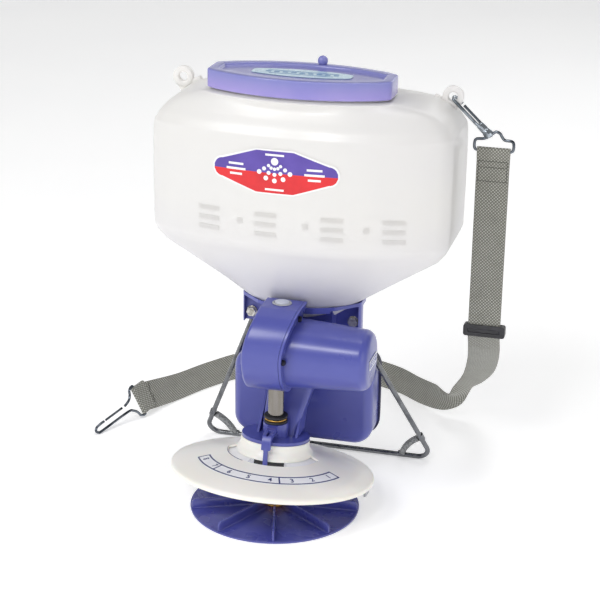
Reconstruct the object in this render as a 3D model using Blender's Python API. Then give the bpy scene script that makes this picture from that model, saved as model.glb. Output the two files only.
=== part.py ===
"""Strap-carried broadcast spreader for salt and grit, as separate working pieces.

Frame: X to the right, Y from the front to the operator's side, Z up.
The origin is on the vertical spinner shaft, in the plane that the spreader stands on.
All dimensions below are in millimetres; the mesh helpers turn them into metres.
"""
from math import atan2, cos, hypot, pi, radians, sin, sqrt

import bmesh
import bpy
from mathutils import Matrix, Vector

MM = 0.001
GAP = 0.3                     # left between pieces that touch on the real spreader

# ---- tank and lid ----------------------------------------------------------------------
TANK_X, TANK_Y = 12.0, 75.0   # centre line of the mouth, the funnel and the bracket
BODY_X = 16.0                 # centre line of the straight part of the tank
TANK_HALF_W = 169.0
TANK_HALF_D = 95.0            # at the bulge of the front and the back
TANK_END_HALF_D = 62.0        # where the bulge meets the flat ends
TANK_WALL = 3.0
FUNNEL_Z = 236.0              # where the funnel enters the bracket
FUNNEL_HALF_W, FUNNEL_HALF_D = 67.0, 47.0
FUNNEL_END_D, FUNNEL_CORNER = 14.0, 9.0
STRAIGHT_Z0, STRAIGHT_Z1 = 311.0, 440.0
TANK_TOP_Z = 477.0
OUTLET_HALF_W, OUTLET_HALF_D = 32.0, 24.0
OUTLET_Z = 207.0
LUG_X, LUG_Y, LUG_Z = 156.0, 110.0, 471.0
LUG_R, LUG_HOLE_R, LUG_THICK = 12.0, 5.2, 8.0
MOUTH_Y = 47.0
LID_HALF_W, LID_HALF_D, LID_END_HALF_D = 103.0, 48.0, 21.0
LID_TOP_Z, LID_SKIRT_Z, LID_WALL = 501.0, 481.0, 2.6
LID_PANEL_DROP = 3.0
MOUTH_RIM_Z = 492.5
KNOB_R, KNOB_SINK = 5.8, 4.0

# ---- bracket, outlet and shutter -------------------------------------------------------
BRACKET_Z0, BRACKET_Z1 = 200.0, 236.0
BOLT_DX, BOLT_Z = 60.0, 211.0
WEB_Y0, WEB_Y1 = 67.0, 72.0   # cross web that the stand is bolted to
SHUTTER_Z = 203.2
SHUTTER_THICK = 1.6

# ---- gear case, motor and drive --------------------------------------------------------
CASE_X0, CASE_X1 = -28.0, 15.0
CASE_Z, CASE_R = 199.0, 51.0
CASE_TOP_Z, CASE_BACK_Y = 247.5, 24.0
CASE_LEAN = 12.0              # sideways lean of the top of the case
CASE_FOOT_Z = 149.0
MOTOR_Z = 192.0
MOTOR_X1 = 110.0
MOTOR_R0, MOTOR_R1 = 40.0, 33.5
CASE_WALL, CASE_STEPS, FLANGE_THICK = 2.6, 14, 3.3
CASE_SCREWS = ((-45.0, 196.5), (-15.0, 238.0))
GEAR_TEETH, PINION_TEETH = 20, 8
GEAR_MODULE = 2.02
SHAFT_R = 4.0

# ---- hub, deflector and spinner --------------------------------------------------------
GUARD_C = Vector((-3.0, 0.0, 46.0))
GUARD_AXIS = Vector((0.039, 0.149, 0.988)).normalized()
GUARD_R = 117.0
NECK_R_IN, NECK_R_OUT = 37.0, 39.5
NECK_TOP = 38.0               # height of the collar above the rim plane, along the axis
# outer and inner profile of the deflector, as (radius, height above the rim plane)
GUARD_OUTER = [(GUARD_R, -3.5), (GUARD_R, 0.4), (GUARD_R - 2, 2.2), (100, 6.8), (72, 14.0),
               (54, 18.7), (44, 22.8), (NECK_R_OUT, 31), (NECK_R_OUT, NECK_TOP)]
GUARD_INNER = [(NECK_R_IN, NECK_TOP), (NECK_R_IN, 29), (42, 21), (54, 16.4), (72, 11.7),
               (100, 4.5), (GUARD_R - 2.7, 0), (GUARD_R - 2.4, -3.5)]
SLOT_R0, SLOT_R1 = 45.0, 53.0
SLOT_FROM, SLOT_TO = 183.0, 357.0
WINDOW_FROM, WINDOW_TO = 243.0, 311.0
SPINNER_R = 97.5
SPINNER_PLATE = 2.6
FIN_COUNT, FIN_FIRST, FIN_HEIGHT, FIN_THICK = 9, -75.6, 11.5, 2.4

HUB_R, HUB_TOP, BUSH_R = 14.2, 105.5, 8.0
SLEEVE_R = 9.0
SWITCH_X, SWITCH_Y, SWITCH_HALF_W, SWITCH_HALF_D = 4.5, 3.5, 9.5, 8.5
LABEL_X, LABEL_Z = 0.5, 404.5

# ---- battery box -----------------------------------------------------------------------
HINGE_X, HINGE_Y, HINGE_Z = 10.0, 118.0, 46.6
BOX_X0, BOX_X1 = -74.0, 94.0
BOX_Z0, BOX_Z1 = 51.0, 156.0
BOX_Y0, BOX_SPLIT_Y, BOX_Y1 = 76.0, 116.0, 142.0
BOX_CORNER = 22.0
BOX_WALL = 2.5
LATCH_LIFT = 1.3
CELL_R, CELL_LENGTH, CELL_PITCH, CELL_COUNT = 16.6, 61.5, 36.0, 4

# ---- wire stand ------------------------------------------------------------------------
ROD_R = 3.0
FOOT_LEFT_X, FOOT_RIGHT_X, FOOT_Y = -138.0, 153.0, 172.0
FOOT_BEND_R = 14.0
EYE_REACH, EYE_HALF_W = 38.0, 4.2
RING_THICK = 5.4              # flattened ring at the top of each leg

# ---- strap and its fittings ------------------------------------------------------------
STRAP_W, STRAP_T = 37.0, 2.0
STRAP_X, STRAP_Y = 216.0, 110.0
STRAP_TOP_Z, STRAP_BUCKLE_Z = 411.0, 200.5
HOOK_WIRE_R = 1.7
# centre line of the single webbing below the buckle, and the direction of its width
STRAP_ROUTE = [
    ((216, 110, 193.5), (1, 0, 0)), ((213.5, 135, 166), (1, 0.1, 0)),
    ((205.5, 185, 131), (0.95, 0.25, -0.1)), ((194, 235, 95.6), (0.8, 0.55, -0.2)),
    ((182, 261, 73), (0.6, 0.75, -0.3)), ((172, 274, 59), (0.35, 0.85, -0.4)),
    ((162, 284, 44.5), (0.1, 0.85, -0.5)), ((150, 294, 34), (0, 0.6, -0.8)),
    ((132, 309, 26), (0, 0.25, -0.97)), ((104, 336, 20.5), (0, 0.06, -1)),
    ((70, 366, 19.3), (0, 0, -1)), ((24, 387, 19.3), (0, 0, -1)), ((-30, 396, 19.3), (0, 0, -1)),
    ((-90, 388, 19.3), (0, 0, -1)), ((-142, 358, 19.3), (0, 0, -1)),
    ((-178, 308, 19.3), (0, 0, -1)), ((-205, 254, 20.0), (0.08, 0, -1)),
    ((-231, 200, 25.2), (0.42, 0.1, -0.88)),
]
HOOK_TIP_LEFT = (-267.0, 124.0, 4.9)

COLOURS = {
    "tank_plastic": ((0.93, 0.92, 0.91), 0.38, 0.0),
    "lid_plastic": ((0.36, 0.33, 0.68), 0.28, 0.0),
    "blue_plastic": ((0.16, 0.17, 0.48), 0.38, 0.0),
    "navy_rubber": ((0.03, 0.03, 0.11), 0.6, 0.0),
    "cream_plastic": ((0.88, 0.85, 0.78), 0.42, 0.0),
    "black_rubber": ((0.02, 0.02, 0.02), 0.6, 0.0),
    "black_plastic": ((0.03, 0.03, 0.035), 0.4, 0.0),
    "grey_plastic": ((0.55, 0.56, 0.58), 0.45, 0.0),
    "grey_vinyl": ((0.40, 0.41, 0.41), 0.6, 0.0),
    "steel": ((0.62, 0.63, 0.65), 0.3, 1.0),
    "zinc": ((0.72, 0.70, 0.52), 0.32, 1.0),
    "brass": ((0.72, 0.52, 0.22), 0.3, 1.0),
    "webbing": ((0.42, 0.41, 0.37), 0.9, 0.0),
    "label_print": ((0.20, 0.12, 0.45), 0.35, 0.0),
    "sticker": ((0.62, 0.74, 0.80), 0.3, 0.0),
    "cell_wrap": ((0.12, 0.12, 0.13), 0.35, 0.0),
}


# ---- helpers ---------------------------------------------------------------------------
def clear_scene():
    for obj in list(bpy.data.objects):
        bpy.data.objects.remove(obj, do_unlink=True)


def material(slot):
    found = bpy.data.materials.get(slot)
    if found:
        return found
    colour, roughness, metallic = COLOURS[slot]
    made = bpy.data.materials.new(slot)
    made.use_nodes = True
    shader = made.node_tree.nodes["Principled BSDF"]
    shader.inputs["Base Color"].default_value = (*colour, 1.0)
    shader.inputs["Roughness"].default_value = roughness
    shader.inputs["Metallic"].default_value = metallic
    return made


def place(obj, slot=None):
    bpy.context.scene.collection.objects.link(obj)
    if slot:
        obj.data.materials.append(material(slot))
    return obj


def solid(name, slot, points, faces, origin=(0, 0, 0), turn=None):
    """A mesh object from points in millimetres; origin and turn place its local frame."""
    mesh = bpy.data.meshes.new(name)
    mesh.from_pydata([Vector(p) * MM for p in points], [], faces)
    bm = bmesh.new()
    bm.from_mesh(mesh)
    bmesh.ops.recalc_face_normals(bm, faces=bm.faces)
    bm.to_mesh(mesh)
    bm.free()
    mesh.shade_smooth()
    mesh.set_sharp_from_angle(angle=radians(35))
    obj = bpy.data.objects.new(name, mesh)
    obj.location = Vector(origin) * MM
    if turn is not None:
        obj.rotation_euler = turn.to_euler()
    return place(obj, slot)


def set_pivot(obj, pivot):
    """Move an object's origin onto its joint's axis without moving its shape."""
    obj.data.transform(Matrix.Translation(-Vector(pivot) * MM))
    obj.location = Vector(pivot) * MM


def loft(rings, closed_loop=False):
    """Points and faces through rings of equal length; open ends are capped."""
    count = len(rings[0])
    points = [p for ring in rings for p in ring]
    steps = len(rings) if closed_loop else len(rings) - 1
    faces = []
    for i in range(steps):
        a, b = i * count, ((i + 1) % len(rings)) * count
        for j in range(count):
            k = (j + 1) % count
            faces.append((a + j, a + k, b + k, b + j))
    if not closed_loop:
        faces.append(tuple(range(count))[::-1])
        faces.append(tuple(range((len(rings) - 1) * count, len(rings) * count)))
    return points, faces


def turned(profile, segments, closed_loop=False, start=0.0):
    """A profile of (radius, height) pairs turned about local Z; radius 0 makes a pole."""
    points, rings = [], []
    for radius, height in profile:
        if radius < 1e-6:
            rings.append([len(points)] * segments)
            points.append((0, 0, height))
            continue
        rings.append(list(range(len(points), len(points) + segments)))
        for j in range(segments):
            angle = start + 2 * pi * j / segments
            points.append((radius * cos(angle), radius * sin(angle), height))
    faces = []
    for i in range(len(rings) if closed_loop else len(rings) - 1):
        low, high = rings[i], rings[(i + 1) % len(rings)]
        for j in range(segments):
            k = (j + 1) % segments
            face = []
            for corner in (low[j], low[k], high[k], high[j]):
                if corner not in face:
                    face.append(corner)
            if len(face) > 2:
                faces.append(tuple(face))
    if not closed_loop:
        for end in (rings[0], rings[-1]):
            if len(set(end)) == segments:
                faces.append(tuple(end))
    return points, faces


def disc(radius, low, high, segments=24):
    return turned([(radius, low), (radius, high)], segments)


def tube(inner, outer, low, high, segments=24):
    profile = [(outer, low), (outer, high), (inner, high), (inner, low)]
    return turned(profile, segments, closed_loop=True)


def block(low, high):
    (x0, y0, z0), (x1, y1, z1) = low, high
    return loft([[(x0, y0, z), (x1, y0, z), (x1, y1, z), (x0, y1, z)] for z in (z0, z1)])


def extrusion(outline, low, high, axis="z"):
    """An outline of pairs extruded along an axis: (x, y), (y, z) or (x, z) pairs."""
    order = {"z": lambda p, d: (p[0], p[1], d), "x": lambda p, d: (d, p[0], p[1]),
             "y": lambda p, d: (p[0], d, p[1])}[axis]
    return loft([[order(p, depth) for p in outline] for depth in (low, high)])


def arc(cx, cy, radius, start, end, steps):
    angles = [radians(start + (end - start) * i / steps) for i in range(steps + 1)]
    return [(cx + radius * cos(a), cy + radius * sin(a)) for a in angles]


def rounded_rect(x0, y0, x1, y1, radius, steps=3):
    corners = [(x1 - radius, y1 - radius, 0), (x0 + radius, y1 - radius, 90),
               (x0 + radius, y0 + radius, 180), (x1 - radius, y0 + radius, 270)]
    return [p for cx, cy, start in corners
            for p in arc(cx, cy, radius, start, start + 90, steps)]


def barrel(half_w, half_d, end_half_d, corner, bulge_steps=8, corner_steps=3):
    """Plan outline with flat ends and a bulging front and back, counter-clockwise."""
    rise = half_d - end_half_d
    radius = (half_w ** 2 + rise ** 2) / (2 * rise)
    slope = atan2(half_w, radius - rise)
    quarter = []
    for i in range(corner_steps + 1):
        share = i / corner_steps
        along = share * (pi / 2 - slope * 0.92)
        quarter.append((half_w - corner + corner * cos(along),
                        end_half_d - corner * 0.72 + corner * 0.95 * sin(along)))
    last = quarter[-1][0]
    for i in range(1, bulge_steps // 2 + 1):
        x = last * (1 - i / (bulge_steps // 2))
        quarter.append((x, half_d - radius + sqrt(radius ** 2 - x ** 2)))
    left = [(-x, y) for x, y in quarter[-2::-1]]
    top = quarter + left
    return top + [(-x, -y) for x, y in top]


def ring_at(outline, z, cx=0.0, cy=0.0):
    return [(cx + x, cy + y, z) for x, y in outline]


def toward(direction):
    """Rotation that takes local Z to a direction."""
    return Vector((0, 0, 1)).rotation_difference(Vector(direction).normalized()).to_matrix()


def cut(obj, points, faces, turn=None, origin=(0, 0, 0), operation="DIFFERENCE"):
    """A Boolean with a cutter that stays in the file as a wireframe guide."""
    number = len(obj.modifiers) + 1
    tool = solid(f"{obj.name}.cutter{number}", None, points, faces, origin, turn)
    tool.hide_render = True
    tool.display_type = "WIRE"
    modifier = obj.modifiers.new(f"cut{number}", "BOOLEAN")
    modifier.operation = operation
    modifier.solver = "EXACT"
    modifier.object = tool
    return tool


def join(obj, points, faces, turn=None, origin=(0, 0, 0)):
    return cut(obj, points, faces, turn, origin, "UNION")


def smooth_path(points, per_span):
    """Catmull-Rom points through a hand-chosen route."""
    rows = [Vector(p) for p in points]
    rows = [2 * rows[0] - rows[1]] + rows + [2 * rows[-1] - rows[-2]]
    path = []
    for i in range(1, len(rows) - 2):
        a, b, c, d = rows[i - 1:i + 3]
        for step in range(per_span):
            t = step / per_span
            path.append(0.5 * (2 * b + (c - a) * t + (2 * a - 5 * b + 4 * c - d) * t ** 2
                               + (3 * b - 3 * c + d - a) * t ** 3))
    path.append(rows[-2])
    return path


def rounded_corner(before, corner, after, radius, steps):
    """Points of an arc that rounds the corner of a wire."""
    corner = Vector(corner)
    a = (Vector(before) - corner).normalized()
    b = (Vector(after) - corner).normalized()
    half = a.angle(b) / 2
    centre = corner + (a + b).normalized() * radius / sin(half)
    first = corner + a * radius / (sin(half) / cos(half)) - centre
    last = corner + b * radius / (sin(half) / cos(half)) - centre
    sweep = first.angle(last)
    return [centre + (first * sin(sweep * (1 - i / steps)) + last * sin(sweep * i / steps))
            / sin(sweep) for i in range(steps + 1)]


# ---- tank ------------------------------------------------------------------------------
def outlet_outline(spare):
    return barrel(OUTLET_HALF_W + spare, OUTLET_HALF_D + spare, 17 + spare, 8, 6)


def funnel_outline(share, spare):
    """Section of the funnel at a share of the way from the outlet to the top of the bracket."""
    def between(low, high):
        return low + (high - low) * share
    return barrel(between(OUTLET_HALF_W, FUNNEL_HALF_W) + spare,
                  between(OUTLET_HALF_D, FUNNEL_HALF_D) + spare,
                  between(17, FUNNEL_END_D) + spare, between(8, FUNNEL_CORNER), 6)


def tank_sections(inset):
    """Sections from the outlet to the mouth, each pulled in by the wall thickness."""
    knee = (STRAIGHT_Z0 - 9, TANK_HALF_W - 12, TANK_HALF_D - 9, 52, 24)
    levels = [
        (*knee, BODY_X, TANK_Y),
        (STRAIGHT_Z0 + 6, TANK_HALF_W - 2, TANK_HALF_D - 1, 60, 27, BODY_X, TANK_Y),
        (STRAIGHT_Z0 + 26, TANK_HALF_W, TANK_HALF_D, TANK_END_HALF_D, 28, BODY_X, TANK_Y),
        (STRAIGHT_Z1 - 12, TANK_HALF_W, TANK_HALF_D, TANK_END_HALF_D, 28, BODY_X, TANK_Y),
        (STRAIGHT_Z1 + 6, TANK_HALF_W - 4, TANK_HALF_D - 3, 60, 28, BODY_X, TANK_Y),
        (STRAIGHT_Z1 + 20, TANK_HALF_W - 15, TANK_HALF_D - 12, 53, 26, BODY_X, TANK_Y),
        (TANK_TOP_Z - 8, TANK_HALF_W - 30, TANK_HALF_D - 20, 46, 22, BODY_X - 1, TANK_Y - 3),
        (TANK_TOP_Z - 2, LID_HALF_W + 14, LID_HALF_D + 15, 34, 16, TANK_X, TANK_Y - 14),
        (TANK_TOP_Z, LID_HALF_W + 3, LID_HALF_D + 4, 25, 12, TANK_X, MOUTH_Y + 2),
        (TANK_TOP_Z + 2, LID_HALF_W - 5, LID_HALF_D - 4, 17.5, 9, TANK_X, MOUTH_Y),
        (MOUTH_RIM_Z, LID_HALF_W - 5, LID_HALF_D - 4, 17.5, 9, TANK_X, MOUTH_Y),
    ]
    rings = [ring_at(outlet_outline(-inset), z, TANK_X, TANK_Y) for z in (OUTLET_Z, OUTLET_Z + 6)]
    for share in (0.5, 1.0):
        z = OUTLET_Z + 6 + share * (FUNNEL_Z - OUTLET_Z - 6) + inset * 0.6 * share
        rings.append(ring_at(funnel_outline(share, -inset), z, TANK_X, TANK_Y))
    for i, (z, half_w, half_d, end_d, corner, cx, cy) in enumerate(levels):
        shift = inset * 0.6 if i == 0 else -inset if 4 <= i <= 8 else 0
        outline = barrel(half_w - inset, half_d - inset, end_d - inset * 0.6,
                         corner - inset * 0.5, 6)
        rings.append(ring_at(outline, z + shift, cx, cy))
    return rings


def make_tank():
    outer, inner = tank_sections(0.0), tank_sections(TANK_WALL)
    tank = solid("tank", "tank_plastic", *loft(outer + inner[::-1], closed_loop=True))
    for side in (-1, 1):
        x = TANK_X + side * LUG_X
        ear = arc(x, LUG_Z, LUG_R, 0, 360, 18)[:-1]
        join(tank, *extrusion(ear, LUG_Y - LUG_THICK / 2, LUG_Y + LUG_THICK / 2, "y"))
        web = [(x - side * 9, LUG_Z + 7), (x + side * 8, LUG_Z - 8), (x + side * 2, STRAIGHT_Z1 + 13),
               (x - side * 26, STRAIGHT_Z1 + 20)]
        join(tank, *extrusion(web, LUG_Y - LUG_THICK / 2 + 0.5, LUG_Y + LUG_THICK / 2 - 0.5, "y"))
        hole = arc(x, LUG_Z, LUG_HOLE_R, 0, 360, 14)[:-1]
        cut(tank, *extrusion(hole, LUG_Y - LUG_THICK, LUG_Y + LUG_THICK, "y"))
    return tank


def front_surface_y(x):
    """Front face of the straight wall at a place across the tank."""
    rise = TANK_HALF_D - TANK_END_HALF_D
    radius = (TANK_HALF_W ** 2 + rise ** 2) / (2 * rise)
    return TANK_Y - (TANK_HALF_D - radius + sqrt(radius ** 2 - (x - BODY_X) ** 2))


def lozenge_half_height(share, middle, end):
    """Half height of the label at a share of its half length: straight tapers, round ends."""
    if share < 0.3:
        return middle
    if share < 0.86:
        return middle + (end - middle) * (share - 0.3) / 0.56
    return end * sqrt(max(0.06, 1 - ((share - 0.86) / 0.145) ** 2))


def make_label():
    half, steps = 71.0, 24
    rings = []
    for i in range(steps + 1):
        share = -1 + 2 * i / steps
        x = LABEL_X + half * share
        rise = lozenge_half_height(abs(share), 25.0, 12.0)
        back = front_surface_y(x) - GAP
        rings.append([(x, back, LABEL_Z - rise), (x, back - 0.7, LABEL_Z - rise),
                      (x, back - 0.7, LABEL_Z + rise), (x, back, LABEL_Z + rise)])
    solid("front_label", "label_print", *loft(rings))


def lid_ring(inset, z, corner=9.0):
    return ring_at(barrel(LID_HALF_W - inset, LID_HALF_D - inset, LID_END_HALF_D - 0.7 * inset,
                          max(corner - 0.5 * inset, 2.0), 6), z, TANK_X, MOUTH_Y)


def make_lid():
    under = LID_TOP_Z - LID_PANEL_DROP - LID_WALL
    rings = [lid_ring(LID_WALL, under), lid_ring(LID_WALL, LID_SKIRT_Z), lid_ring(0, LID_SKIRT_Z),
             lid_ring(0, LID_TOP_Z - 2), lid_ring(1.6, LID_TOP_Z), lid_ring(11.5, LID_TOP_Z),
             lid_ring(12.5, LID_TOP_Z - LID_PANEL_DROP)]
    lid = solid("lid", "lid_plastic", *loft(rings))
    seal_low, seal_high = MOUTH_RIM_Z + GAP, under - GAP
    solid("lid_seal", "navy_rubber",
          *loft([lid_ring(5, seal_low), lid_ring(5, seal_high), lid_ring(9, seal_high),
                 lid_ring(9, seal_low)], closed_loop=True))
    panel = LID_TOP_Z - LID_PANEL_DROP + GAP
    sticker = barrel(56, 17, 8, 5, 6, 2)
    solid("lid_sticker", "sticker",
          *loft([ring_at(sticker, z, TANK_X, MOUTH_Y) for z in (panel, panel + 0.5)]))
    knob = [(0, -1), (3.4, -1)]
    for i in range(7):
        angle = radians(-50 + 140 * i / 6)
        knob.append((KNOB_R * cos(angle) if i < 6 else 0, KNOB_SINK + KNOB_R * sin(angle)))
    join(lid, *turned(knob, 14), origin=(TANK_X + 12.5, MOUTH_Y + LID_HALF_D - 6.5, LID_TOP_Z))


# ---- bracket, chute and shutter --------------------------------------------------------
def funnel_cutter(low, high):
    """The tank's lower end, one gap larger, as a cutter for the bracket."""
    rings = [ring_at(outlet_outline(GAP), z, TANK_X, TANK_Y) for z in (low, OUTLET_Z + 6 - GAP)]
    for share in (0.5, 1.0, 1.2):
        z = OUTLET_Z + 6 + share * (FUNNEL_Z - OUTLET_Z - 6)
        if z < high + 8:
            rings.append(ring_at(funnel_outline(share, 2.0), z, TANK_X, TANK_Y))
    return loft(rings)


def make_bracket():
    outline = barrel(FUNNEL_HALF_W + 3, FUNNEL_HALF_D + 3, FUNNEL_END_D + 2.5, FUNNEL_CORNER, 6)
    bracket = solid("hopper_bracket", "blue_plastic",
                    *loft([ring_at(outline, z, TANK_X, TANK_Y) for z in (BRACKET_Z0, BRACKET_Z1)]))
    lip = BRACKET_Z1 - 4
    cut(bracket, *block((TANK_X - 90, 0, BRACKET_Z0 - 5), (TANK_X + 90, 46, lip - 3)))
    for side in (-1, 1):
        near, far, out = (TANK_X + side * d for d in (40, 67.5, 90))
        x0, x1 = sorted((near, far))
        cut(bracket, *block((x0, 0, BRACKET_Z0 - 6), (x1, WEB_Y0, lip)))
        x0, x1 = sorted((near, out))
        cut(bracket, *block((x0, WEB_Y1, BRACKET_Z0 - 7), (x1, 140, lip - 2)))
        hole = arc(TANK_X + side * BOLT_DX, BOLT_Z, 3.3, 0, 360, 12)[:-1]
        cut(bracket, *extrusion(hole, WEB_Y0 - 5, WEB_Y1 + 5, "y"))
        arm_x = TANK_X + side * 26
        join(bracket, *block((arm_x - 6, 103, BOX_Z1 + GAP), (arm_x + 6, 111, BRACKET_Z0 + 2)))
    join(bracket, *block((-23, 24.0 + GAP, 204), (9, 48, 222)))
    cut(bracket, *funnel_cutter(BRACKET_Z0 - 20, BRACKET_Z1 + 1))
    slot = (TANK_X - 36.6, 43, SHUTTER_Z - GAP), (TANK_X + 36.6, 150, SHUTTER_Z + SHUTTER_THICK + GAP)
    cut(bracket, *block(*slot))
    for side, word in ((-1, "left"), (1, "right")):
        make_bolt(word, TANK_X + side * BOLT_DX)


def hex_outline(across_flats, cx, cz):
    radius = across_flats / sqrt(3)
    return arc(cx, cz, radius, 0, 360, 6)[:-1]


def make_bolt(word, x):
    ring_back = WEB_Y1 + GAP + RING_THICK
    bore = arc(x, BOLT_Z, 3.3, 0, 360, 12)[:-1]
    head = hex_outline(10.0, x, BOLT_Z)
    bolt = solid(f"stand_bolt_{word}", "steel", *extrusion(head, WEB_Y0 - 6.4, WEB_Y0 - 1.2, "y"))
    flange = arc(x, BOLT_Z, 6.5, 0, 360, 20)[:-1]
    join(bolt, *extrusion(flange, WEB_Y0 - 1.9, WEB_Y0 - GAP, "y"))
    shank = arc(x, BOLT_Z, 3.0, 0, 360, 12)[:-1]
    join(bolt, *extrusion(shank, WEB_Y0 - 3, ring_back + 8, "y"))
    nut = solid(f"stand_nut_{word}", "steel",
                *extrusion(head, ring_back + GAP, ring_back + 5.3, "y"))
    cut(nut, *extrusion(bore, ring_back - 5, ring_back + 12, "y"))


def make_shutter():
    low, high = SHUTTER_Z, SHUTTER_Z + SHUTTER_THICK
    plate = solid("shutter_plate", "steel",
                  *block((TANK_X - 36, 46, low), (TANK_X + 36, 118, high)))
    join(plate, *block((TANK_X - 9, 117, low), (TANK_X + 9, 146, high)))
    grip = rounded_rect(TANK_X - 15, 138, TANK_X + 15, 152, 5)
    knob = solid("shutter_grip", "blue_plastic", *extrusion(grip, high - 7, high + 6))
    cut(knob, *block((TANK_X - 9.3, 130, low - GAP), (TANK_X + 9.3, 146.3, high + GAP)))


def chute_rings(wall):
    levels = [(BRACKET_Z0 - GAP - (0 if wall == 0 else -6), 12, 75, 34.8, 26.8, 10),
              (186, 12, 69, 33, 25, 10), (160, 10.5, 55, 29, 20, 9), (128, 6.5, 41, 25, 16.5, 8),
              (104, 3, 27.5, 22.5, 14.5, 7), (82 if wall == 0 else 60, 1.5, 19, 21.5, 14, 7)]
    rings = []
    for z, cx, cy, half_w, half_d, corner in levels:
        outline = rounded_rect(cx - half_w + wall, cy - half_d + wall, cx + half_w - wall,
                               cy + half_d - wall, corner - wall * 0.6)
        rings.append([(x, y, z) for x, y in outline])
    return rings


def make_chute():
    tilt = toward(GUARD_AXIS)
    chute = solid("outlet_chute", "blue_plastic", *loft(chute_rings(0)))
    join(chute, *block((TANK_X - 39, 46, BRACKET_Z0 - 4), (TANK_X + 39, 101, BRACKET_Z0 - GAP)))
    join(chute, *disc(39, NECK_TOP + GAP, NECK_TOP + 4, 32), tilt, GUARD_C)
    for x in (-21.5, 24.0):
        rib = [(-2, 86), (34, 86), (52, 128), (40, 128)]
        join(chute, *extrusion(rib, x - 1.3, x + 1.3, "x"))
    cut(chute, *loft(chute_rings(2.4)))
    join(chute, *disc(HUB_R, 80, HUB_TOP, 20), origin=(0, 0, 0))
    boss = rounded_rect(-6, -21, 6, -10, 2, 2)
    join(chute, *extrusion(boss, 96, 105))
    cut(chute, *disc(BUSH_R + GAP, HUB_TOP - 16, HUB_TOP + 5, 20))
    cut(chute, *disc(SHAFT_R + 0.6, 60, HUB_TOP, 16))
    cut(chute, *block((-7, -30, 98), (7, -16.5, 110)))


def make_drop_plate():
    profile = [(33, 11), (33, NECK_TOP), (NECK_R_IN - 0.5, NECK_TOP), (NECK_R_IN - 0.5, 13),
               (57, 13), (57, 11)]
    plate = solid("drop_plate", "cream_plastic", *turned(profile, 32, closed_loop=True),
                  origin=GUARD_C, turn=toward(GUARD_AXIS))
    cut(plate, *arc_band(43, 53.5, WINDOW_FROM, WINDOW_TO, 5, 20, 8), toward(GUARD_AXIS), GUARD_C)


def arc_band(r0, r1, start, end, low, high, steps):
    """A solid band around the deflector's axis between two radii and two angles."""
    outline = arc(0, 0, r1, start, end, steps) + arc(0, 0, r0, end, start, steps)
    return extrusion(outline, low, high)


def make_pointer():
    profile = [(-17.2, 104.5), (-36, 102.5), (-41.5, 97), (-43.5, 86), (-45.6, 76), (-46.8, 67.5),
               (-43.6, 67.5), (-41.2, 76), (-39.2, 84), (-37.6, 92), (-34, 96.2), (-17.2, 98.6)]
    pointer = solid("direction_pointer", "blue_plastic", *extrusion(profile, -5.4, 5.4, "x"))
    cut(pointer, *block((-1.7, -36, 90), (1.7, -23.5, 110)))
    taper = [(-60, 60), (-60, 84), (-30, 90), (-30, 60)]
    for side in (-1, 1):
        x0, x1 = sorted((side * 2.6, side * 9))
        cut(pointer, *extrusion(taper, x0, x1, "x"))


# ---- gear case and motor ---------------------------------------------------------------
def case_lean(z):
    """The top of the case leans over toward the motor."""
    return CASE_LEAN * max(0.0, (z - CASE_Z) / (CASE_TOP_Z - CASE_Z)) ** 1.5


def case_levels(inset):
    """Heights of the case's sections with their front and back, pulled in by the wall."""
    low, high = CASE_FOOT_Z + inset, CASE_TOP_Z - inset
    levels = []
    for i in range(CASE_STEPS + 1):
        swing = -cos(pi * i / CASE_STEPS)
        z = CASE_Z + (CASE_Z - low if swing < 0 else high - CASE_Z) * swing
        front = -sqrt(max(100.0, (CASE_R - inset) ** 2 - (z - CASE_Z) ** 2))
        back = CASE_BACK_Y - inset - max(0.0, z - CASE_Z - 37) * 0.6
        levels.append((z, front, back))
    return levels


def case_body(inset, x0, x1, rounding):
    """The case's shape between two sides, as sections stacked from the foot to the top."""
    rings = []
    for z, front, back in case_levels(inset):
        left, right = x0 + case_lean(z), x1 + case_lean(z)
        rings.append([(right, back, z), (left, back, z), (left, front + rounding, z),
                      (left + rounding * 0.3, front + rounding * 0.3, z),
                      (left + rounding, front, z), (right, front, z)])
    return loft(rings)


def make_gear_case():
    case = solid("gear_case", "blue_plastic", *case_body(0, CASE_X0, CASE_X1, 4))
    cut(case, *case_body(CASE_WALL, CASE_X0 + CASE_WALL, CASE_X1 + 5, 3))
    cut(case, *disc(SLEEVE_R + GAP, CASE_FOOT_Z - 5, CASE_FOOT_Z + 10, 20))
    oval = oval_outline(SWITCH_X, SWITCH_Y, SWITCH_HALF_W, SWITCH_HALF_D)
    cut(case, *extrusion(oval, CASE_TOP_Z - 8, CASE_TOP_Z + 8))


def oval_outline(cx, cy, half_w, half_d, steps=20):
    return [(cx + half_w * cos(2 * pi * i / steps), cy + half_d * sin(2 * pi * i / steps))
            for i in range(steps)]


def make_switch():
    rim = solid("switch_bezel", "grey_plastic",
                *extrusion(oval_outline(SWITCH_X, SWITCH_Y, SWITCH_HALF_W + 1.6, SWITCH_HALF_D + 1.6),
                           CASE_TOP_Z + GAP, CASE_TOP_Z + 1.5))
    cut(rim, *extrusion(oval_outline(SWITCH_X, SWITCH_Y, SWITCH_HALF_W - 1.0, SWITCH_HALF_D - 1.0),
                        CASE_TOP_Z - 5, CASE_TOP_Z + 5))
    stem = SWITCH_HALF_W - 1.4, SWITCH_HALF_D - 1.4
    solid("power_button", "sticker",
          *loft([[(x, y, z) for x, y in oval_outline(SWITCH_X, SWITCH_Y, stem[0] - inset,
                                                     stem[1] - inset)]
                 for z, inset in ((CASE_TOP_Z - 9, 0), (CASE_TOP_Z + 2.2, 0), (CASE_TOP_Z + 2.9, 1))]))


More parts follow.
